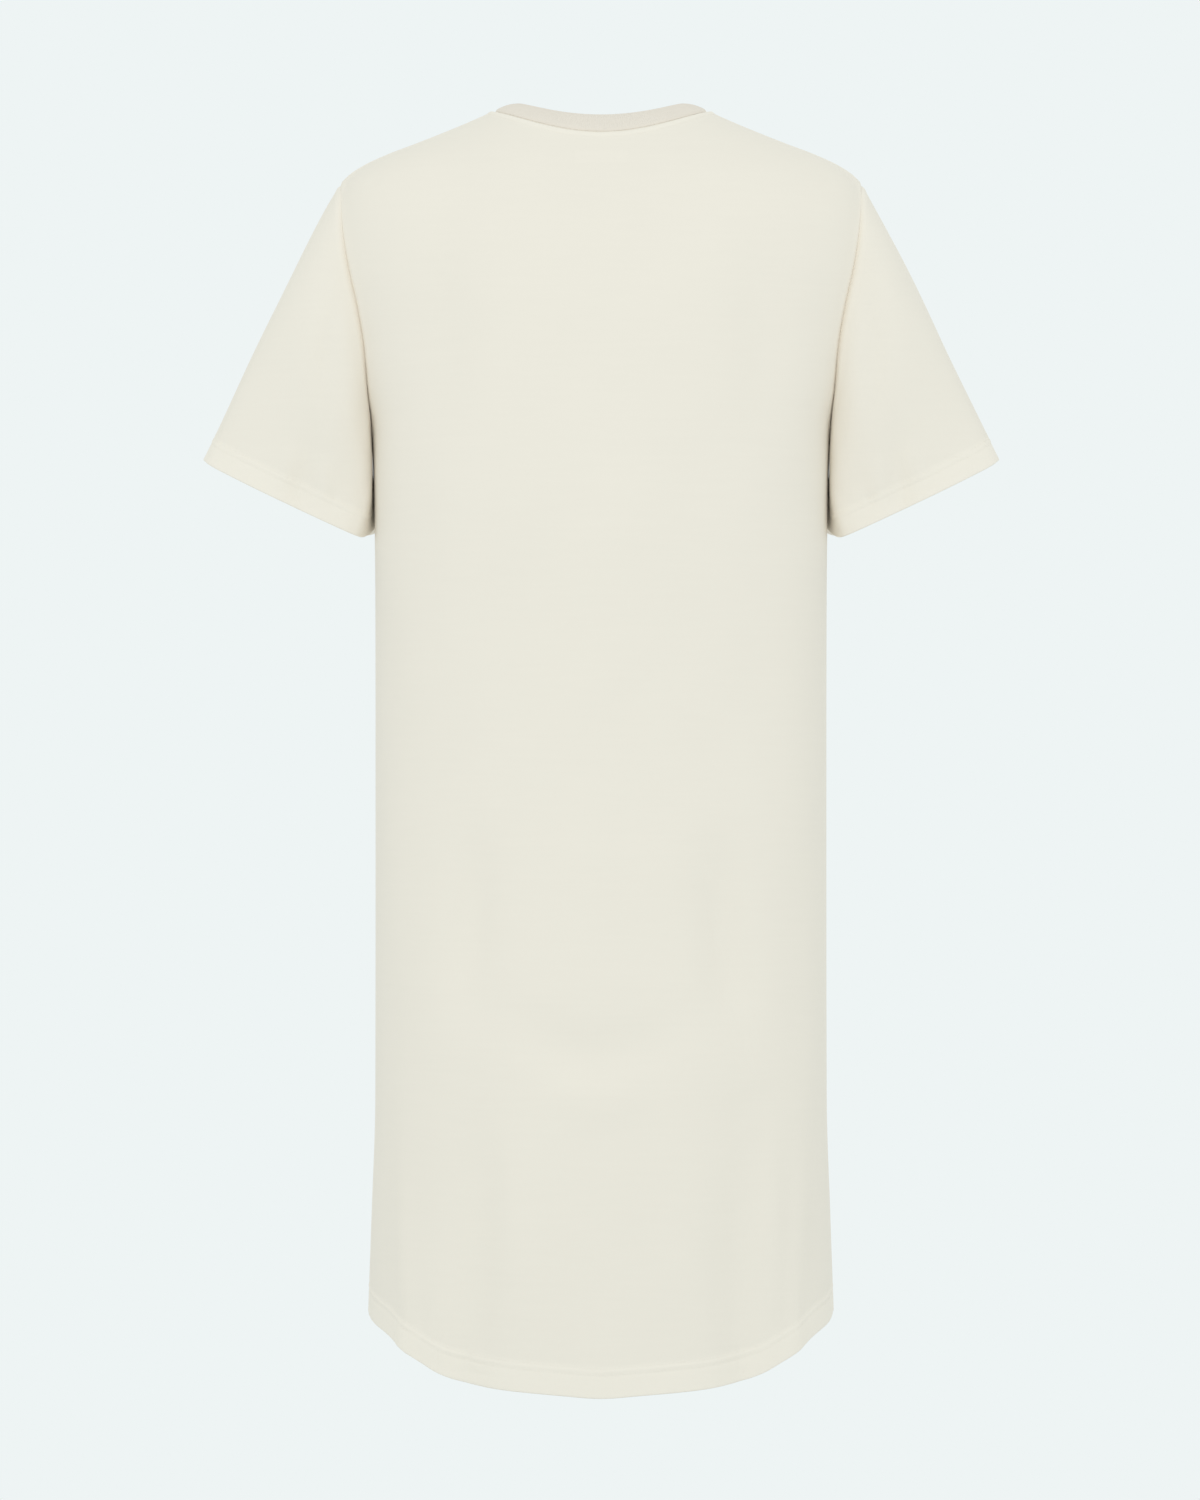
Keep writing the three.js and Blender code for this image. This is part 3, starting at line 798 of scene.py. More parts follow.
class ShaderTree(Tree):
    """Node tree of one material."""

    def __init__(self, name: str) -> None:
        """Starts an empty material."""
        self.material = bpy.data.materials.new(name)
        self.material.use_nodes = True
        super().__init__(self.material.node_tree)
        self.tree.nodes.clear()

    def cloth_place(self) -> tuple[Value, ...]:
        """Places across and up the flat cloth, with 0 as the third."""
        return self.parts(self.node("ShaderNodeUVMap", {"uv_map": CLOTH_UV}))

    def object_place(self) -> tuple[Value, ...]:
        """X, Y and Z of the surface in its object."""
        return self.parts(self.node("ShaderNodeTexCoord", output="Object"))

    def noise(self, place: tuple[Value, ...], grain: tuple[float, ...], detail: float) -> Value:
        """Noise at a place, finer with a larger grain and about 0 in the mean."""
        scaled = {number: part * scale for number, (part, scale) in enumerate(zip(place, grain))}
        vector = self.node("ShaderNodeCombineXYZ", inputs=scaled)
        inputs = {"Vector": vector, "Scale": 1.0, "Detail": detail, "Roughness": 0.55}
        return self.node("ShaderNodeTexNoise", inputs=inputs) - 0.5

    def stripes(self, place: Value, pitch: float) -> Value:
        """Sine wave over a place, with a pitch in millimetres."""
        return (place * (2 * math.pi / (pitch * MM))).sine()

    def surface(self, links: dict[str, Value], constants: dict[str, float]) -> bpy.types.Material:
        """Ends the tree in a surface shader.

        Args:
            links: What changes over the surface, by socket.
            constants: What is the same all over, by socket.

        Returns:
            The finished material.
        """
        shader = self.node("ShaderNodeBsdfPrincipled", inputs={**constants, **links})
        ending = self.tree.nodes.new("ShaderNodeOutputMaterial")
        self.tree.links.new(shader.socket, ending.inputs["Surface"])
        return self.material


@dataclass(frozen=True)
class SeamLine:
    """Sewn edge, with the direction out of the cloth that the pieces beside it share."""

    points: np.ndarray
    normals: np.ndarray

    def mirrored(self) -> SeamLine:
        """The same seam on the other side of the body."""
        return SeamLine(self.points * MIRROR, self.normals * MIRROR)

    def near(self, places: np.ndarray) -> tuple[np.ndarray, np.ndarray]:
        """Finds the nearest part of the seam.

        Args:
            places: Grid of points.

        Returns:
            Distance to the seam and its normal there, for each point.
        """
        flat = places.reshape(-1, 3)
        nearest = np.full(len(flat), np.inf)
        normal = np.zeros_like(flat)
        ends = zip(self.points[:-1], self.points[1:], self.normals[:-1], self.normals[1:])
        for start, end, first, last in ends:
            way = end - start
            share = np.clip((flat - start) @ way / max(way @ way, 1e-9), 0, 1)
            gap = np.linalg.norm(flat - start - share[:, None] * way, axis=1)
            closer = gap < nearest
            nearest[closer] = gap[closer]
            normal[closer] = first + share[closer, None] * (last - first)
        return nearest.reshape(places.shape[:-1]), unit(normal).reshape(places.shape)


def shared_direction(
    own: np.ndarray, seam: SeamLine, points: np.ndarray, reach: float,
) -> tuple[np.ndarray, np.ndarray]:
    """Turns a face's normals towards a seam's own, close to the seam.

    Args:
        own: The face's normals.
        seam: The seam.
        points: The face's points.
        reach: How far from the seam the turn fades.

    Returns:
        The turned normals, and each point's distance to the seam.
    """
    distance, at_seam = seam.near(points)
    weight = np.exp(-((distance / reach) ** 2))[..., None]
    return unit(own * (1 - weight) + at_seam * weight), distance


@dataclass
class Pattern:
    """The cut pieces' plain faces, as worn, and the seams between them."""

    form: DressForm = field(default_factory=DressForm)
    neck_rows: tuple[float, ...] = (
        0, 0.35, 0.8, 1.3, 1.9, 2.7, 3.6, 4.6, 5.6, 6.5, 7.4, 8.6, 10.2, 12.5, 15.5,
    )
    edge_columns: tuple[float, ...] = (0, 0.4, 0.9, 1.5, 2.3, 3.4, 5, 6.75, 8.5, 11)
    hem_rows: tuple[float, ...] = (
        0, 0.15, 0.5, 1, 2.2, 4.5, 7.5, 10.5, 13.5, 16, 17.5, 18.9, 20, 21.2, 22.5, 23.6, 24.8,
        26.4, 29,
    )
    cuff_rows: tuple[float, ...] = (
        0, 0.15, 0.5, 1, 2, 4, 6.5, 9, 11.5, 13.5, 14.6, 15.8, 17, 18.2, 19.4, 20.6, 22, 24,
    )
    shoulder_length: float = 132.5
    shoulder_rows: int = 26
    armhole_rows: int = 50
    side_rows: int = 136
    columns_between: int = 48
    sleeve_rows_between: int = 52
    smoothing: int = 70
    tip_reach: float = 0.5
    underarm_reach: float = 0.3
    firm_edge: float = 5
    normal_rounds: int = 16

    def __post_init__(self) -> None:
        """Makes the plain faces and the seams."""
        self.stages = self._stages()
        half = Spread((0,), self.edge_columns, self.columns_between)
        self.faces = {side: self._smooth(self.form.panel(side, self.stages, half)) for side in Side}
        self.normals = {
            side: even_out(grid_normals(self.faces[side], False, side.value), self.normal_rounds)
            for side in Side
        }
        on_armhole = np.flatnonzero((self.stages >= 1) & (self.stages <= 2))
        half_turn = (self.stages[on_armhole] - 1) * 180
        self.turns = np.concatenate([half_turn, 360 - half_turn[-2:0:-1]])
        down = Spread(self.edge_columns, self.cuff_rows, self.sleeve_rows_between)
        self.sleeve = self.form.sleeve_face(self.turns, down)
        self.sleeve_normals = grid_normals(self.sleeve, True, -1)
        self._join(on_armhole)

    def _stages(self) -> np.ndarray:
        """Stage of each row of a panel, from the neckline to the hem."""
        form = self.form
        near_neck = np.array(self.neck_rows) / self.shoulder_length
        shoulder = np.linspace(near_neck[-1], 1, self.shoulder_rows + 1)[1:]
        armhole = np.linspace(1, 2, self.armhole_rows + 1)[1:]
        length = form.underarm_height - form.side_hem_height
        near_hem = 3 - np.array(self.hem_rows[::-1]) / length
        side = np.linspace(2, near_hem[0], self.side_rows + 1)[1:]
        return np.concatenate([near_neck, shoulder, armhole, side, near_hem[1:]])

    def _smooth(self, face: np.ndarray) -> np.ndarray:
        """Rounds the bends that a face has in line with the shoulder tip and the underarm."""
        near_tip = bell(self.stages - 1, self.tip_reach)
        mask = np.maximum(near_tip, bell(self.stages - 2, self.underarm_reach))
        along = lengths_along(face, axis=1)
        to_edge = np.minimum(along, along[:, -1:] - along)
        return soften(face, mask[:, None] * smoothstep(to_edge / self.firm_edge), self.smoothing)

    def _join(self, on_armhole: np.ndarray) -> None:
        """Gives each seam the mean of the normals beside it.

        Args:
            on_armhole: The rows of a panel that end on the armhole.
        """
        back, front = (self.normals[side][:, -1].copy() for side in Side)
        around = self.sleeve_normals[0]
        steps = len(on_armhole)
        back_sleeve = around[:steps]
        front_sleeve = np.concatenate([around[:1], around[steps - 1:][::-1]])
        both = unit(back + front)
        shared = {}
        beside = ((Side.BACK, back, back_sleeve), (Side.FRONT, front, front_sleeve))
        for side, own, sleeve in beside:
            normals = both.copy()
            inner = on_armhole[1:-1]
            normals[inner] = unit(own[inner] + sleeve[1:-1])
            for end in (0, -1):
                row = on_armhole[end]
                normals[row] = unit(back[row] + front[row] + sleeve[end])
            shared[side] = normals
        self.edges = {side: SeamLine(self.faces[side][:, -1], shared[side]) for side in Side}
        self.necks = {side: SeamLine(self.faces[side][0], self.normals[side][0]) for side in Side}
        ring = np.concatenate([
            shared[Side.BACK][on_armhole], shared[Side.FRONT][on_armhole][-2:0:-1],
        ])
        closed = np.arange(len(self.turns) + 1) % len(self.turns)
        self.armhole = SeamLine(self.sleeve[0][closed], ring[closed])

    def neckline(self) -> SeamLine:
        """The neck seam all round, from the wearer's left by the back, the right and the front."""
        back, front = self.necks[Side.BACK], self.necks[Side.FRONT]
        points = np.concatenate([back.points[::-1][:-1], front.points[:-1]])
        normals = np.concatenate([back.normals[::-1][:-1], front.normals[:-1]])
        return SeamLine(points, normals)


@dataclass(frozen=True)
class StitchLine:
    """Row of stitches, on the face of the cloth."""

    points: np.ndarray
    normals: np.ndarray
    closed: bool = False


def line_at(
    points: np.ndarray, normals: np.ndarray, distance: np.ndarray, at: float, closed: bool = False,
) -> StitchLine:
    """Line of stitches at a distance from an edge, with one point on each row of the grids.

    Args:
        points: Rows of points, each from the edge inwards.
        normals: Their normals.
        distance: Their distances from the edge.
        at: Distance of the line.
        closed: Whether the line runs all round.

    Returns:
        The line.
    """
    found, ups = [], []
    for line, up, along in zip(points, normals, distance):
        cut = int(np.argmax(along >= at))
        share = (at - along[cut - 1]) / (along[cut] - along[cut - 1])
        found.append(line[cut - 1] * (1 - share) + line[cut] * share)
        ups.append(up[cut])
    return StitchLine(np.array(found), np.array(ups), closed)


@dataclass
class BodyPanel:
    """Back or front of the dress, in one layer of jersey with a turned-up hem."""

    pattern: Pattern
    side: Side
    folds: tuple[Fold, ...]
    hand: Unevenness
    hem: TurnedHem = TurnedHem(1.0, 24)
    hem_needles: TwinNeedle = TwinNeedle((17.5, 22.5))
    hem_pucker: Pucker = Pucker(11, 3, 37, 4.5, 7)
    hem_tension: float = 0.5
    tension_waves: tuple[float, float] = (31, 47)
    neck_needles: TwinNeedle = TwinNeedle((1.2, 6.5), groove=0.22, puff=0.25)
    neck_tension: float = 0.3
    neck_tension_wave: float = 23
    neck_allowance: float = 7.2
    neck_seam_share: float = 1.4
    neck_row_margin: int = 6
    seam: Seam = Seam()
    seam_reach: float = 4
    firm_reach: float = 14
    shoulder_row: float = 6.75
    shoulder_row_stages: tuple[float, float] = (0.06, 0.97)

    def face(self) -> ClothFace:
        """Works out the finished outer face, and keeps its distances to the edges."""
        pattern, form = self.pattern, self.pattern.form
        base, edge = pattern.faces[self.side], pattern.edges[self.side]
        other_edge = edge.mirrored()
        normals, to_left = shared_direction(
            pattern.normals[self.side], edge, base, self.seam_reach,
        )
        normals, to_right = shared_direction(normals, other_edge, base, self.seam_reach)
        to_edge, to_neck = np.minimum(to_left, to_right), pattern.necks[self.side].near(base)[0]
        across, height = lengths_along(base, axis=1), base[..., 2]
        across = across - across[:, [base.shape[1] // 2]]
        side_z = form.row_edges(self.side, pattern.stages)[2]
        to_hem = np.where(pattern.stages < 2, np.inf, side_z - form.side_hem_height)
        to_hem = np.repeat(to_hem[:, None], base.shape[1], axis=1)

        ease = 1 - np.exp(-((np.minimum(to_edge, to_neck) / self.firm_reach) ** 2))
        first, second = (2 * np.pi * (across * 0.5 + height) / wave for wave in self.tension_waves)
        tension = 1 + self.hem_tension * np.sin(first) * np.sin(second + 1)
        neck_wave = np.sin(2 * np.pi * across / self.neck_tension_wave)
        move = ease * (all_folds(self.folds, across, height) + self.hand.push(across, height))
        move += self.seam.profile(to_edge) + self.seam.profile(to_neck) * self.neck_seam_share
        move += self.neck_needles.profile(to_neck) * (1 + self.neck_tension * neck_wave)
        move += self.hem_needles.profile(to_hem) * tension
        pucker = self.hem_pucker.push(across, to_hem, self.hem_needles.rows[1])
        move += pucker * tension * ease

        roll, thickness, doubled = self.hem.at(to_hem)
        points = base + normals * (move - roll)[..., None]
        finished = even_out(grid_normals(points, False, self.side.value), pattern.normal_rounds)
        for seam in (edge, other_edge):
            finished = shared_direction(finished, seam, points, self.seam_reach / 2)[0]
        at_neck = np.exp(-((to_neck / self.neck_allowance) ** 6))
        layers = np.maximum(self.seam.layers(doubled, to_edge), at_neck)
        uv = np.stack([across, height], axis=-1)
        self.to_neck, self.to_edge, self.to_hem = to_neck, to_edge, to_hem
        return ClothFace(points, finished, thickness, uv, layers, False, self.side.value)

    def stitch_lines(self, face: ClothFace) -> list[StitchLine]:
        """Rows of stitches by the hem, the neck seam and, on the back, the shoulder seams.

        Args:
            face: The finished face.

        Returns:
            The rows.
        """
        lines = []
        for at in self.hem_needles.rows:
            row = int(np.argmin(np.abs(self.to_hem[:, 0] - at)))
            lines.append(StitchLine(face.points[row], face.normals[row]))
        inner = slice(self.neck_row_margin, -self.neck_row_margin)
        down = [grid.swapaxes(0, 1)[inner] for grid in (face.points, face.normals, self.to_neck)]
        lines += [line_at(*down, at) for at in self.neck_needles.rows]
        if self.side is Side.BACK:
            first, last = self.shoulder_row_stages
            rows = (self.pattern.stages > first) & (self.pattern.stages < last)
            half = face.points.shape[1] // 2
            for order in (slice(None, half, 1), slice(None, half, -1)):
                grids = (face.points, face.normals, self.to_edge)
                lines.append(line_at(*(grid[rows][:, order] for grid in grids), self.shoulder_row))
        return lines


@dataclass
class SetInSleeve:
    """Short sleeve in one layer of jersey, with a turned-up hem."""

    pattern: Pattern
    hand: Hand
    back_folds: tuple[Fold, ...]
    front_folds: tuple[Fold, ...]
    unevenness: Unevenness
    hem: TurnedHem = TurnedHem(1.0, 20)
    needles: TwinNeedle = TwinNeedle((14.6, 18.8), groove=0.25, puff=0.28)
    pucker: Pucker = Pucker(13, 2, 29, 4, 6)
    tension: float = 0.4
    tension_wave: float = 37
    seam: Seam = Seam()
    seam_reach: float = 4
    firm_reach: float = 12
    turnover: float = 0.25
    body_side: tuple[float, float] = (188, 44)

    def face(self) -> ClothFace:
        """Works out the finished outer face, and keeps its distances to the hem."""
        pattern, base = self.pattern, self.pattern.sleeve
        normals, to_seam = shared_direction(
            pattern.sleeve_normals, pattern.armhole, base, self.seam_reach,
        )
        down, across = lengths_along(base, axis=0), lengths_along(base, axis=1)
        self.to_hem = down[-1:] - down
        turns = np.broadcast_to(pattern.turns, down.shape)
        x, z = base[..., 0], base[..., 2]
        to_back = np.sin(np.radians(turns)) + self.turnover
        on_back = smoothstep(to_back / (2 * self.turnover))
        folds = all_folds(self.back_folds, x, z) * on_back
        folds += all_folds(self.front_folds, x, z) * (1 - on_back)
        clear_of_body = 1 - bell(turns - self.body_side[0], self.body_side[1])
        ease = (1 - np.exp(-((to_seam / self.firm_reach) ** 2))) * clear_of_body
        tension = 1 + self.tension * np.sin(2 * np.pi * across / self.tension_wave)
        move = ease * (folds + self.unevenness.push(across, z)) + self.seam.profile(to_seam)
        move += self.needles.profile(self.to_hem) * tension
        move += self.pucker.push(across, self.to_hem, self.needles.rows[1]) * clear_of_body

        roll, thickness, doubled = self.hem.at(self.to_hem)
        points = base + normals * (move - roll)[..., None]
        own = grid_normals(points, True, -1)
        finished = shared_direction(own, pattern.armhole, points, self.seam_reach / 2)[0]
        layers = self.seam.layers(doubled, to_seam)
        uv = np.stack([across, -down], axis=-1)
        if self.hand is Hand.LEFT:
            return ClothFace(points, finished, thickness, uv, layers, True, -1)
        return ClothFace(points * MIRROR, finished * MIRROR, thickness, uv, layers, True, 1)

    def stitch_lines(self, face: ClothFace) -> list[StitchLine]:
        """Two rows of stitches round the sleeve's hem."""
        grids = (face.points, face.normals, self.to_hem)
        up = [grid[::-1].swapaxes(0, 1) for grid in grids]
        return [line_at(*up, at, closed=True) for at in self.needles.rows]


@dataclass
class NeckRib:
    """Double band of rib knit round the neckline."""

    pattern: Pattern
    wall: float = 2.3
    rings: int = 22
    ribs: int = 262
    columns_per_rib: int = 4
    rib_depth: float = 0.2
    seam: Seam = Seam(groove=0.8, ridge=0.15)
    seam_reach: float = 3

    def face(self) -> ClothFace:
        """Works out the band's outer face, before its ribs."""
        seam = self.pattern.neckline()
        closed = np.concatenate([seam.points, seam.points[:1]])
        along = np.concatenate([[0], np.cumsum(np.linalg.norm(np.diff(closed, axis=0), axis=1))])
        places = np.linspace(0, along[-1], self.ribs * self.columns_per_rib + 1)[:-1]
        neckline = [np.interp(places, along, closed[:, axis]) for axis in range(3)]
        shares = (1 - np.cos(np.linspace(0, np.pi, self.rings))) / 2
        base = self.pattern.form.rib_face(np.stack(neckline, axis=-1), shares)
        own = grid_normals(base, True, 1)
        own = own * np.sign(np.sum(own * (base - base.mean(axis=(0, 1))), axis=-1).mean())
        ring = SeamLine(closed, np.concatenate([seam.normals, seam.normals[:1]]))
        normals, to_seam = shared_direction(own, ring, base, self.seam_reach)
        to_top = lengths_along(base, axis=0)
        to_top = to_top[-1:] - to_top
        roll = edge_roll(to_top, self.wall / 2)
        points = base + normals * (self.seam.profile(to_seam) - roll)[..., None]
        thickness = np.maximum(self.wall - 2 * roll, THINNEST)
        around = np.broadcast_to(places, to_top.shape)
        uv = np.stack([around, -to_top], axis=-1)
        finished = grid_normals(points, True, 1)
        finished = finished * np.sign(np.sum(finished * normals, axis=-1, keepdims=True))
        return ClothFace(points, finished, thickness, uv, np.ones(to_top.shape), True, 1)


@dataclass(frozen=True)
class NeckLabel:
    """Small blank label, sewn flat inside the back below the neck seam."""

    pattern: Pattern
    half_width: float = 20
    top: float = -37.5
    bottom: float = -47
    wall: float = 0.5
    behind: float = 1.35
    steps: tuple[int, int] = (9, 33)
    columns_near: int = 10

    def face(self, back: ClothFace) -> ClothFace:
        """Lays the label against the inside of the back.

        Args:
            back: The back's finished face.

        Returns:
            The label's face.
        """
        points = back.points - back.normals * self.behind
        middle = points.shape[1] // 2
        heights = np.linspace(self.top, self.bottom, self.steps[0])
        places = np.linspace(-self.half_width, self.half_width, self.steps[1])
        near = points[::-1, middle - self.columns_near:middle + self.columns_near + 1]
        rows = np.stack([
            [np.interp(heights, line[:, 2], line[:, axis]) for axis in range(3)]
            for line in near.swapaxes(0, 1)
        ], axis=-1).transpose(1, 2, 0)
        grid = np.stack([
            [np.interp(places, row[:, 0], row[:, axis]) for axis in range(3)] for row in rows
        ]).swapaxes(1, 2)
        normals = grid_normals(grid, False, 1)
        uv = grid[..., [0, 2]]
        wall = np.full(self.steps, self.wall)
        return ClothFace(grid, normals, wall, uv, np.ones(self.steps), False, 1)


class NodeGroup(Tree):
    """Geometry Nodes tree with named inputs."""

    KINDS = {
        float: "NodeSocketFloat", int: "NodeSocketInt", bpy.types.Material: "NodeSocketMaterial",
    }

    def __init__(self, name: str, inputs: dict[str, type]) -> None:
        """Starts a tree.

        Args:
            name: Name of the tree.
            inputs: Kind of each named input, besides the geometry.
        """
        super().__init__(bpy.data.node_groups.new(name, "GeometryNodeTree"))
        new_socket = self.tree.interface.new_socket
        new_socket("Geometry", in_out="INPUT", socket_type="NodeSocketGeometry")
        self.sockets = {}
        for label, kind in inputs.items():
            socket = new_socket(label, in_out="INPUT", socket_type=self.KINDS[kind])
            self.sockets[label] = socket.identifier
        new_socket("Geometry", in_out="OUTPUT", socket_type="NodeSocketGeometry")
        self.start = self.tree.nodes.new("NodeGroupInput")
        self.end = self.tree.nodes.new("NodeGroupOutput")

    def given(self, name: str) -> Value:
        """One of the tree's own inputs."""
        return Value(self, self.start.outputs[name])

    def named(self, name: str) -> Value:
        """A named vector of the mesh."""
        settings = {"data_type": "FLOAT_VECTOR"}
        return self.node("GeometryNodeInputNamedAttribute", settings, {"Name": name})

    def finish(self, geometry: Value) -> None:
        """Realizes the geometry, sets its material and ends the tree."""
        real = self.node("GeometryNodeRealizeInstances", inputs={0: geometry})
        inputs = {"Geometry": real, "Material": self.given("Material")}
        dressed = self.node("GeometryNodeSetMaterial", inputs=inputs)
        self.tree.links.new(dressed.socket, self.end.inputs[0])

    def apply(self, piece: bpy.types.Object, values: dict[str, object]) -> bpy.types.Object:
        """Runs the tree on a piece and keeps the result as a plain mesh.

        Args:
            piece: The piece, which is used up.
            values: Value of each named input.

        Returns:
            The new piece, under the same name.
        """
        modifier = piece.modifiers.new(self.tree.name, "NODES")
        modifier.node_group = self.tree
        for name, value in values.items():
            modifier[self.sockets[name]] = value
        depsgraph = bpy.context.evaluated_depsgraph_get()
        evaluated = piece.evaluated_get(depsgraph)
        mesh = bpy.data.meshes.new_from_object(evaluated, depsgraph=depsgraph)
        name, old = piece.name, piece.data
        piece.modifiers.remove(modifier)
        bpy.data.objects.remove(piece)
        bpy.data.meshes.remove(old)
        mesh.name = name
        mesh.polygons.foreach_set("use_smooth", np.ones(len(mesh.polygons), bool))
        return add_object(name, mesh)


@dataclass
class Stitching:
    """Visible thread of the topstitching, one bead for each stitch."""

    pitch: float = 2.9
    length: float = 2.3
    width: float = 0.42
    height: float = 0.26
    irregularity: float = 0.12
    seed: int = 7

    def __post_init__(self) -> None:
        """Builds the tree that lays the beads."""
        sizes = ("Pitch", "Stitch Length", "Thread Width", "Thread Height", "Irregularity")
        inputs = {**dict.fromkeys(sizes, float), "Seed": int, "Material": bpy.types.Material}
        group = NodeGroup("Stitches", inputs)
        pitch, *size, spread = (group.given(name) for name in sizes)
        curve = group.node("GeometryNodeMeshToCurve", inputs={"Mesh": group.given("Geometry")})
        spaced = group.node(
            "GeometryNodeResampleCurve", {"mode": "LENGTH"}, {"Curve": curve, "Length": pitch},
        )
        ball = {"Segments": 6, "Rings": 5, "Radius": 0.5}
        bead = group.node("GeometryNodeMeshUVSphere", inputs=ball)
        along = group.node(
            "FunctionNodeAlignRotationToVector", {"axis": "X"},
            {"Vector": group.node("GeometryNodeInputTangent")},
        )
        lying = group.node(
            "FunctionNodeAlignRotationToVector", {"axis": "Z", "pivot_axis": "X"},
            {"Rotation": along, "Vector": group.named(THREAD_UP)},
        )
        chance = group.node(
            "FunctionNodeRandomValue", {"data_type": "FLOAT"},
            {"Min": 1 - spread, "Max": 1 + spread, "Seed": group.given("Seed")}, output="Value",
        )
        whole = group.node("ShaderNodeCombineXYZ", inputs=dict(enumerate(size)))
        group.finish(group.node("GeometryNodeInstanceOnPoints", inputs={
            "Points": spaced, "Instance": bead, "Rotation": lying,
            "Scale": group.scaled(whole, chance),
        }))
        self.group = group

    def sew(
        self, name: str, lines: list[StitchLine], thread: bpy.types.Material,
    ) -> bpy.types.Object:
        """Lays stitches along lines.

        Args:
            name: Name of the new piece.
            lines: The rows of stitches.
            thread: Material of the thread.

        Returns:
            The stitches as one plain mesh.
        """
        edges, start = [], 0
        for line in lines:
            end = start + len(line.points)
            edges.extend((place, place + 1) for place in range(start, end - 1))
            if line.closed:
                edges.append((end - 1, start))
            start = end
        mesh = bpy.data.meshes.new(name)
        points = np.concatenate([line.points for line in lines]) * MM
        mesh.from_pydata(points.tolist(), edges, [])
        add_vectors(mesh, THREAD_UP, np.concatenate([line.normals for line in lines]))
        values = {
            "Pitch": self.pitch * MM, "Stitch Length": self.length * MM,
            "Thread Width": self.width * MM, "Thread Height": self.height * MM,
            "Irregularity": self.irregularity, "Seed": self.seed, "Material": thread,
        }
        return self.group.apply(add_object(name, mesh), values)


@dataclass
class RibKnit:
    """Raises the vertical ribs of a knitted band."""

    seam_ease: float = 2.5
    top_ease: float = 3
    top_start: float = 1.5

    def __post_init__(self) -> None:
        """Builds the tree that moves the band's faces in and out."""
        inputs = {"Rib Pitch": float, "Rib Depth": float, "Material": bpy.types.Material}
        group = NodeGroup("RibKnit", inputs)
        around, firmness, _ = group.parts(group.named(RIB_PLACE))
        wave = (around / group.given("Rib Pitch") * (2 * math.pi)).cosine()
        depth = wave * firmness * group.given("Rib Depth")
        offset = group.scaled(group.node("GeometryNodeInputNormal"), depth)
        moved = {"Geometry": group.given("Geometry"), "Offset": offset}
        group.finish(group.node("GeometryNodeSetPosition", inputs=moved))
        self.group = group

    def raise_ribs(self, band: bpy.types.Object, face: ClothFace, rib: NeckRib) -> bpy.types.Object:
        """Gives the band its ribs.

        Args:
            band: The plain band.
            face: The face that it was made from.
            rib: The band's sizes.

        Returns:
            The ribbed band.
        """
        around, height = face.uv[..., 0], -face.uv[..., 1]
        from_seam = smoothstep((height[:1] - height) / self.seam_ease)
        eased = from_seam * smoothstep((height + self.top_start) / self.top_ease)
        place = np.stack([around * MM, eased, 0 * eased], axis=-1).reshape(-1, 3)
        add_vectors(band.data, RIB_PLACE, np.concatenate([place, place]))
        step = around[0, 1] - around[0, 0]
        return self.group.apply(band, {
            "Rib Pitch": float(step * rib.columns_per_rib * MM), "Rib Depth": rib.rib_depth * MM,
            "Material": band.data.materials[0],
        })


@dataclass(frozen=True)
class Finish:
    """Look of one material."""

    colour: tuple[float, float, float]
    tone: float
    roughness: float
    uneven_roughness: float
    specular: float
    relief_strength: float = 0.2
    relief_depth: float = 0.03
    sheen: float = 0

    def material(self, name: str) -> bpy.types.Material:
        """Makes the material.

        Args:
            name: Its name.

        Returns:
            The material.
        """
        tree = ShaderTree(name)
        tone, uneven, links = self.look(tree)
        links["Base Color"] = tree.scaled(self.colour, tone)
        links["Roughness"] = uneven * self.uneven_roughness + self.roughness
        constants = {"Specular IOR Level": self.specular, "Sheen Weight": self.sheen}
        return tree.surface(links, constants)

    def look(self, tree: ShaderTree) -> tuple[Value, Value, dict[str, Value]]:
        """Tone, unevenness and other links of the surface."""
        raise NotImplementedError

    def relief(self, tree: ShaderTree, height: Value) -> dict[str, Value]:
        """Link for a surface with the finish's own relief."""
        inputs = {"Strength": self.relief_strength, "Distance": self.relief_depth * MM}
        return {"Normal": tree.node("ShaderNodeBump", inputs={"Height": height, **inputs})}


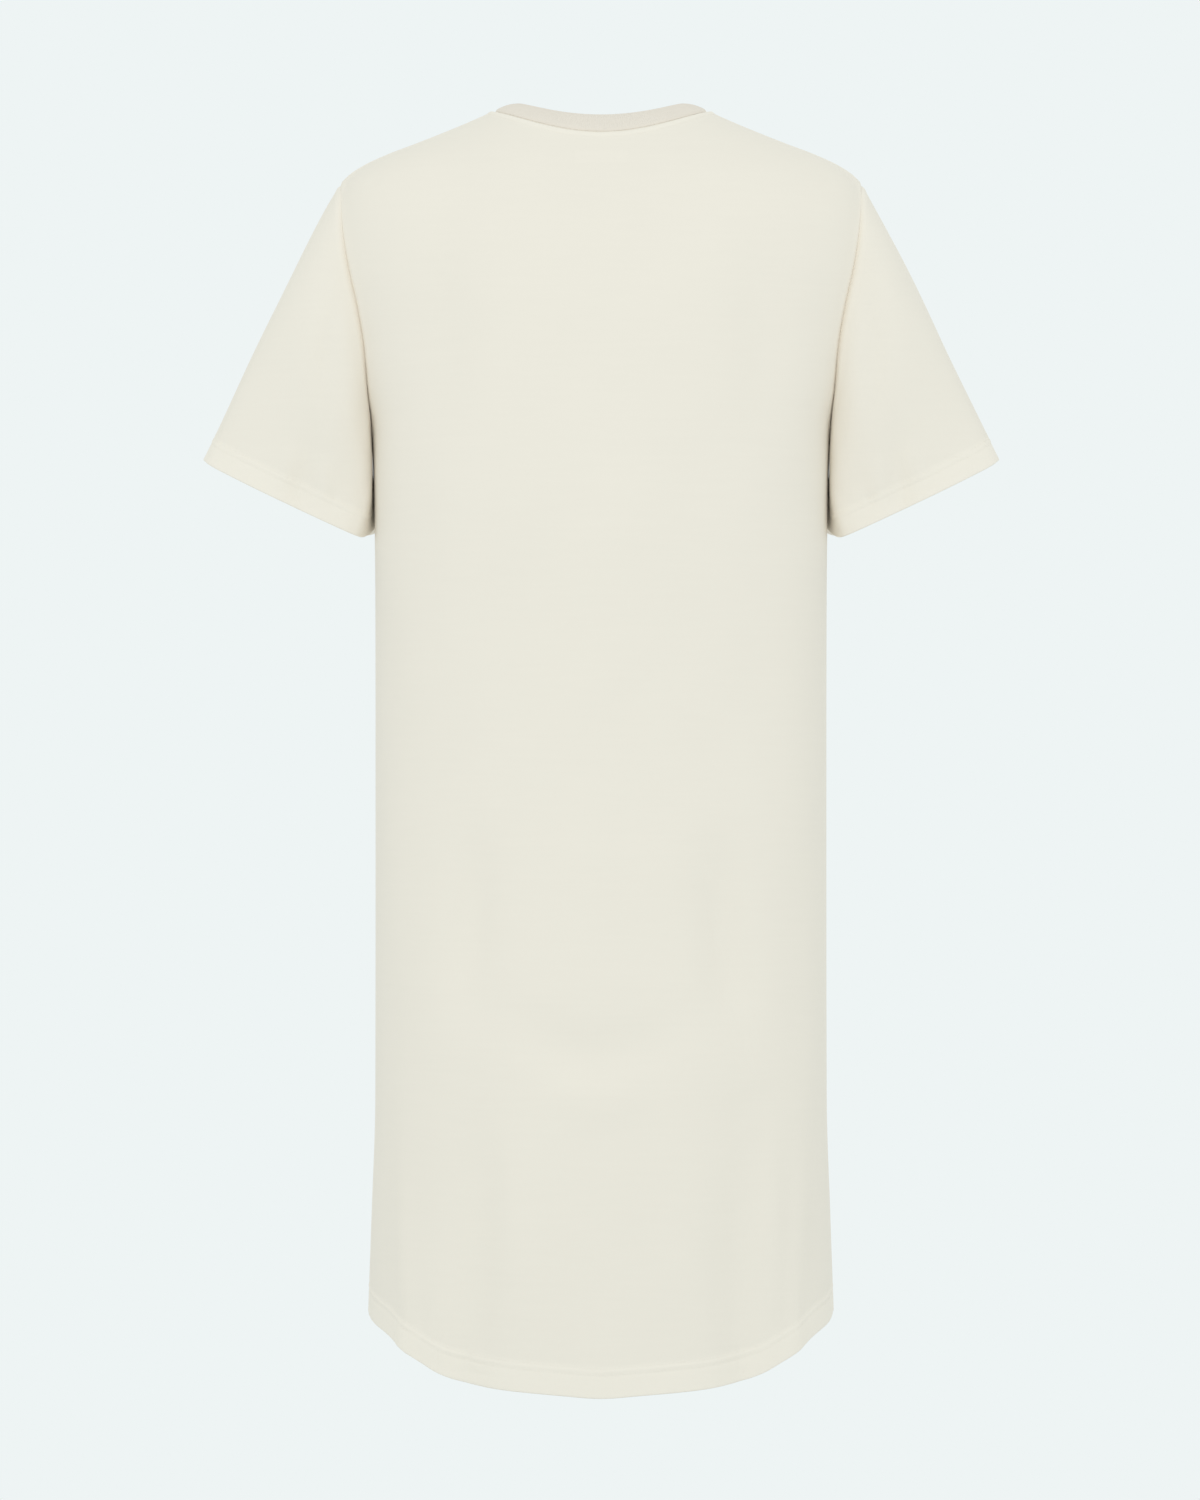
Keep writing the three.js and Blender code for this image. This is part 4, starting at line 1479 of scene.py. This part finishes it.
@dataclass(frozen=True)
class JerseyFinish(Finish):
    """Matt single jersey, with faint uneven courses, lighter where it is doubled."""

    colour: tuple[float, float, float] = (0.868, 0.808, 0.716)
    tone: float = 0.018
    roughness: float = 0.88
    uneven_roughness: float = 0.06
    specular: float = 0.25
    relief_strength: float = 0.3
    relief_depth: float = 0.05
    sheen: float = 0.04
    grain: tuple[float, float, float] = (22, 22, 330)
    cloud_tone: float = 0.02
    cloud_grain: tuple[float, float, float] = (14, 14, 9)
    doubled_tone: float = 0.028
    wale: float = 0.95
    course: float = 0.75
    slant: float = 0.35
    wale_relief: float = 0.65
    course_relief: float = 0.2
    fuzz_relief: float = 0.3
    fuzz_grain: tuple[float, float] = (900, 900)
    label_edges: tuple[float, float, float, float] | None = None
    label_tone: float = 0.008
    label_blur: float = 0.7

    def look(self, tree: ShaderTree) -> tuple[Value, Value, dict[str, Value]]:
        """Tone from the courses, the layers and the label, and relief from the knit."""
        place = x, _, z = tree.object_place()
        u, v, _ = tree.cloth_place()
        doubled = tree.node("ShaderNodeAttribute", {"attribute_name": LAYERS}, output="Fac")
        courses = tree.noise(place, self.grain, 2.0)
        clouds = tree.noise(place, self.cloud_grain, 2.0)
        tone = 1 + courses * self.tone + clouds * self.cloud_tone + doubled * self.doubled_tone
        if self.label_edges:
            left, right, low, high = (edge * MM for edge in self.label_edges)
            blur = self.label_blur * MM
            patch = x.between(left, right, blur) * z.between(low, high, blur)
            tone = tone + patch * self.label_tone
        wales = abs(tree.stripes(u, 2 * self.wale))
        turn = v * (2 * math.pi / (self.course * MM)) + wales * self.slant * (2 * math.pi)
        fuzz = tree.noise((u, v), self.fuzz_grain, 1.0) * self.fuzz_relief
        knit = wales * self.wale_relief + turn.sine() * self.course_relief + fuzz
        return tone, clouds, self.relief(tree, knit)


@dataclass(frozen=True)
class WovenFinish(Finish):
    """Matt cloth with faint clouds and level threads or courses."""

    grain: tuple[float, float] = (60, 260)
    detail: float = 2.0
    thread: float = 0.8
    thread_relief: float = 0.5

    def look(self, tree: ShaderTree) -> tuple[Value, Value, dict[str, Value]]:
        """Tone from the clouds, and relief from the clouds and threads."""
        u, v, _ = tree.cloth_place()
        clouds = tree.noise((u, v), self.grain, self.detail)
        height = tree.stripes(v, self.thread) * self.thread_relief + clouds
        return 1 + clouds * self.tone, clouds, self.relief(tree, height)


@dataclass(frozen=True)
class ThreadFinish(Finish):
    """Matt sewing thread."""

    twist: float = 0.4

    def look(self, tree: ShaderTree) -> tuple[Value, Value, dict[str, Value]]:
        """Tone and relief from the plies."""
        x, y, z = tree.object_place()
        plies = tree.stripes(x + y + z, self.twist)
        return 1 + plies * self.tone, plies, self.relief(tree, plies)


@dataclass(frozen=True)
class FloorFinish(Finish):
    """Plain floor that fades out at its rim."""

    grain: tuple[float, float] = (3, 3)
    fade: tuple[float, float] = (1.0, 2.3)

    def look(self, tree: ShaderTree) -> tuple[Value, Value, dict[str, Value]]:
        """Tone from faint clouds, clear from the middle outwards."""
        x, y, _ = tree.object_place()
        clouds = tree.noise((x, y), self.grain, 2.0)
        clear = tree.soft_step((x * x + y * y) ** 0.5, *self.fade)
        return 1 + clouds * self.tone, clouds, {"Alpha": 1 - clear}


RIB_FINISH = WovenFinish((0.815, 0.745, 0.66), 0.03, 0.88, 0.06, 0.25, 0.3, 0.05)
TAPE_FINISH = WovenFinish(
    (0.86, 0.85, 0.8), 0.03, 0.5, 0.1, 0.4, grain=(400, 90), detail=1.0, thread=0.35,
)
THREAD_FINISH = ThreadFinish((0.88, 0.825, 0.735), 0.01, 0.7, 0.02, 0.3)
FLOOR_FINISH = FloorFinish((0.74, 0.765, 0.765), 0.01, 0.9, 0.05, 0.1)


@dataclass(frozen=True)
class Studio:
    """Camera at the photo's angle, soft light, plain background and pale floor."""

    camera_side: float = 0.77
    camera_away: float = 4500
    camera_height: float = -493
    picture_height: float = 1158
    sensor: float = 36
    background: tuple[float, float, float] = (0.8550, 0.9047, 0.9047)
    lamp_size: float = 3.2
    key_place: tuple[float, float, float] = (0.15, 3.3, 0.4)
    fill_place: tuple[float, float, float] = (-0.3, -3.3, 0.4)
    lamp_watts: float = 17.5
    fill_watts: float = 15
    floor_height: float = -1.45
    floor_radius: float = 2.4
    floor_sides: int = 96

    def build(self) -> None:
        """Makes everything that isn't the dress."""
        self._camera()
        self._world()
        self._lamp("key", self.key_place, self.lamp_watts)
        self._lamp("fill", self.fill_place, self.fill_watts)
        self._floor()

    def _camera(self) -> None:
        """Camera that looks along -Y at the back of the dress."""
        data = bpy.data.cameras.new("camera")
        data.sensor_width = self.sensor
        data.lens = self.sensor * self.camera_away / self.picture_height
        camera = add_object("camera", data)
        camera.location = (self.camera_side * MM, self.camera_away * MM, self.camera_height * MM)
        camera.rotation_euler = (math.pi / 2, 0, math.pi)
        bpy.context.scene.camera = camera

    def _world(self) -> None:
        """Even pale light from all round, which is the background too."""
        scene = bpy.context.scene
        scene.view_settings.view_transform = "Standard"
        world = bpy.data.worlds.new("studio")
        world.use_nodes = True
        light = next(node for node in world.node_tree.nodes if node.type == "BACKGROUND")
        light.inputs["Color"].default_value = (*self.background, 1)
        light.inputs["Strength"].default_value = 1
        scene.world = world

    def _lamp(self, name: str, place: tuple[float, float, float], watts: float) -> None:
        """Large soft lamp that faces the middle of the dress."""
        data = bpy.data.lights.new(name, "AREA")
        data.shape = "SQUARE"
        data.size = self.lamp_size
        data.energy = watts
        lamp = add_object(name, data)
        lamp.location = place
        lamp.visible_camera = False
        way = np.array([0, 0, self.camera_height * MM]) - np.array(place)
        lamp.rotation_euler = (
            math.acos(-way[2] / np.linalg.norm(way)), 0, math.atan2(-way[0], way[1]),
        )

    def _floor(self) -> None:
        """Pale round floor, below the dress."""
        turns = np.linspace(0, 2 * np.pi, self.floor_sides, endpoint=False)
        ring = np.stack([np.cos(turns), np.sin(turns), 0 * turns], axis=-1) * self.floor_radius
        mesh = bpy.data.meshes.new("floor")
        ring[:, 2] = self.floor_height
        mesh.from_pydata(ring.tolist(), [], [list(range(self.floor_sides))])
        mesh.materials.append(FLOOR_FINISH.material("floor"))
        add_object("floor", mesh)


BACK_FOLDS = (
    Fold(((118, -70), (124, -175), (122, -300)), 27, -5.6),
    Fold(((-116, -70), (-124, -175), (-121, -292)), 26, -5.2),
    Fold(((92, -535), (102, -632), (113, -725)), 21, -8.0),
    Fold(((-86, -540), (-97, -644), (-116, -745)), 22, -8.6),
    Fold(((92, -668), (54, -706), (6, -722), (-44, -710), (-84, -662)), 20, -3.8),
    Fold(((60, -738), (2, -758), (-56, -740)), 17, 1.9),
    Fold(((162, -690), (166, -832), (166, -985)), 12, 3.0, True),
    Fold(((100, -700), (94, -832), (109, -1010)), 21, -7.4, True),
    Fold(((72, -742), (66, -946)), 15, 2.6),
    Fold(((-114, -690), (-107, -832), (-114, -1010)), 22, -7.8, True),
    Fold(((-136, -757), (-139, -938)), 12, 2.8),
    Fold(((-171, -700), (-162, -970)), 12, 2.8, True),
    Fold(((142, -903), (151, -940)), 4.5, -1.1),
    Fold(((155, -906), (165, -945)), 4, -1.0),
    Fold(((169, -902), (176, -934)), 4.5, -0.9),
    Fold(((-149, -904), (-157, -943)), 4.5, -1.0),
    Fold(((-169, -902), (-178, -936)), 4.5, -0.9),
    Fold(((104, -930), (112, -972)), 4.5, -1.5, True),
    Fold(((98, -938), (100, -962)), 6, 1.0),
    Fold(((-108, -936), (-114, -970)), 4.5, -1.3, True),
    Fold(((128, -938), (127, -957)), 6, 0.8),
    Fold(((192, -56), (185, -62)), 4.5, -0.8),
    Fold(((-183, -56), (-190, -62)), 4.5, -0.8),
)
FRONT_FOLDS = (
    Fold(((124, -96), (128, -180), (126, -275)), 20, -3.2),
    Fold(((-122, -92), (-126, -176), (-125, -268)), 21, -3.0),
    Fold(((84, -545), (92, -600)), 15, -2.2),
    Fold(((-92, -585), (-100, -650)), 15, -2.4),
    Fold(((70, -640), (20, -690), (-40, -690), (-84, -645)), 15, -1.3),
    Fold(((150, -660), (156, -830), (158, -985)), 13, 2.6, True),
    Fold(((86, -590), (90, -800), (97, -1010)), 21, -5.2, True),
    Fold(((60, -760), (58, -950)), 13, 1.4),
    Fold(((-96, -640), (-98, -820), (-104, -1010)), 20, -5.0, True),
    Fold(((-166, -690), (-160, -960)), 12, 2.6, True),
    Fold(((146, -900), (157, -941)), 4.5, -1.0),
    Fold(((165, -904), (173, -937)), 4, -0.9),
    Fold(((-140, -902), (-149, -939)), 4.5, -1.1),
    Fold(((-160, -900), (-170, -940)), 4.5, -0.9),
    Fold(((92, -932), (100, -974)), 4.5, -1.4, True),
    Fold(((-101, -934), (-108, -972)), 4.5, -1.3, True),
    Fold(((40, -950), (42, -984)), 5, -0.7, True),
)
SLEEVE_BACK_FOLDS = (
    Fold(((204, -90), (207, -177), (208, -211), (209, -250)), 13, -4.2),
    Fold(((222, -229), (226, -269), (230, -308)), 9, -3.0, True),
    Fold(((175, -290), (182, -308), (186, -330)), 5, 1.2),
    Fold(((237, -255), (243, -297)), 9, 1.8),
    Fold(((212, -266), (214, -308)), 8, 1.6),
    Fold(((192, -288), (193, -326)), 8, 1.0),
    Fold(((233, -288), (230, -305)), 3.2, -0.7),
    Fold(((207, -292), (206, -311)), 3.2, -0.7),
)
SLEEVE_FRONT_FOLDS = (
    Fold(((206, -100), (211, -180), (214, -238)), 12, -2.4),
    Fold(((228, -222), (234, -262), (240, -302)), 9, -2.0, True),
    Fold(((246, -250), (252, -286)), 9, 1.0),
    Fold(((212, -268), (213, -305)), 8, 1.0),
    Fold(((222, -286), (221, -306)), 3.2, -0.7),
)


@dataclass(frozen=True)
class Cut:
    """Flat size of a piece of cloth, in metres, as it is cut with its turn-ups."""

    width: float
    length: float
    area: float


def dress_piece(
    piece: bpy.types.Object, nodes: tuple[str, ...] = (),
) -> None:
    """Puts a finished piece on the body and reports it.

    Args:
        piece: The piece.
        nodes: CAD nodes that it stands for.
    """
    if nodes:
        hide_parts(*nodes)
    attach(piece, BODY)
    LOG.info("%s: %d faces", piece.name, len(piece.data.polygons))


@dataclass
class Dress:
    """The whole dress."""

    label_edges: tuple[float, float, float, float] = (-20.5, 19.5, -47, -37.5)

    def __post_init__(self) -> None:
        """Makes what several pieces share."""
        self.pattern = Pattern()
        self.jersey = JerseyFinish().material("jersey")
        self.back_jersey = JerseyFinish(label_edges=self.label_edges).material("jersey_back")
        self.thread = THREAD_FINISH.material("thread")
        self.stitching = Stitching()

    def build(self) -> None:
        """Makes every piece and dresses it."""
        back = BodyPanel(self.pattern, Side.BACK, BACK_FOLDS, Unevenness(11, 0.35, 45, 190))
        face = self._sewn(back, "back_%s", "back", self.back_jersey)
        label = NeckLabel(self.pattern).face(face)
        tape = label.build("label", TAPE_FINISH.material("label_tape"))
        dress_piece(tape, ("neck_label",))
        front = BodyPanel(self.pattern, Side.FRONT, FRONT_FOLDS, Unevenness(12, 0.35, 45, 190))
        self._sewn(front, "front_%s", "front", self.jersey)
        for hand, seed in ((Hand.LEFT, 21), (Hand.RIGHT, 22)):
            name = hand.name.lower()
            hang = Unevenness(seed, 0.3, 30, 110)
            folds = (SLEEVE_BACK_FOLDS, SLEEVE_FRONT_FOLDS)
            sleeve = SetInSleeve(self.pattern, hand, *folds, hang)
            self._sewn(sleeve, "sleeve_%s_" + name, "sleeve_" + name, self.jersey)
        rib = NeckRib(self.pattern)
        face = rib.face()
        band = face.build("rib_band", RIB_FINISH.material("rib_knit"))
        band = RibKnit().raise_ribs(band, face, rib)
        dress_piece(band, ("neck_rib",))
        LOG.info("neck_rib: %.4f square metres", face.area())

    def _sewn(
        self, part: BodyPanel | SetInSleeve, pieces: str, node: str, jersey: bpy.types.Material,
    ) -> ClothFace:
        """Makes a panel or a sleeve, with its stitches.

        Args:
            part: The panel or sleeve.
            pieces: Its pieces' names, with a gap for what each is.
            node: CAD node that it stands for.
            jersey: Material of its cloth.

        Returns:
            Its finished face.
        """
        face = part.face()
        cloth = face.build(pieces % "cloth", jersey)
        dress_piece(cloth, (node,))
        rows = self.stitching.sew(pieces % "stitches", part.stitch_lines(face), self.thread)
        dress_piece(rows)
        LOG.info("%s: %.4f square metres", node, face.area())
        return face


def main() -> None:
    """Builds the dress and its studio, and keeps both boxes."""
    logging.basicConfig(level=logging.INFO, format="%(name)s: %(message)s")
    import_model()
    Studio().build()
    Dress().build()


if __name__ == "__main__":
    main()
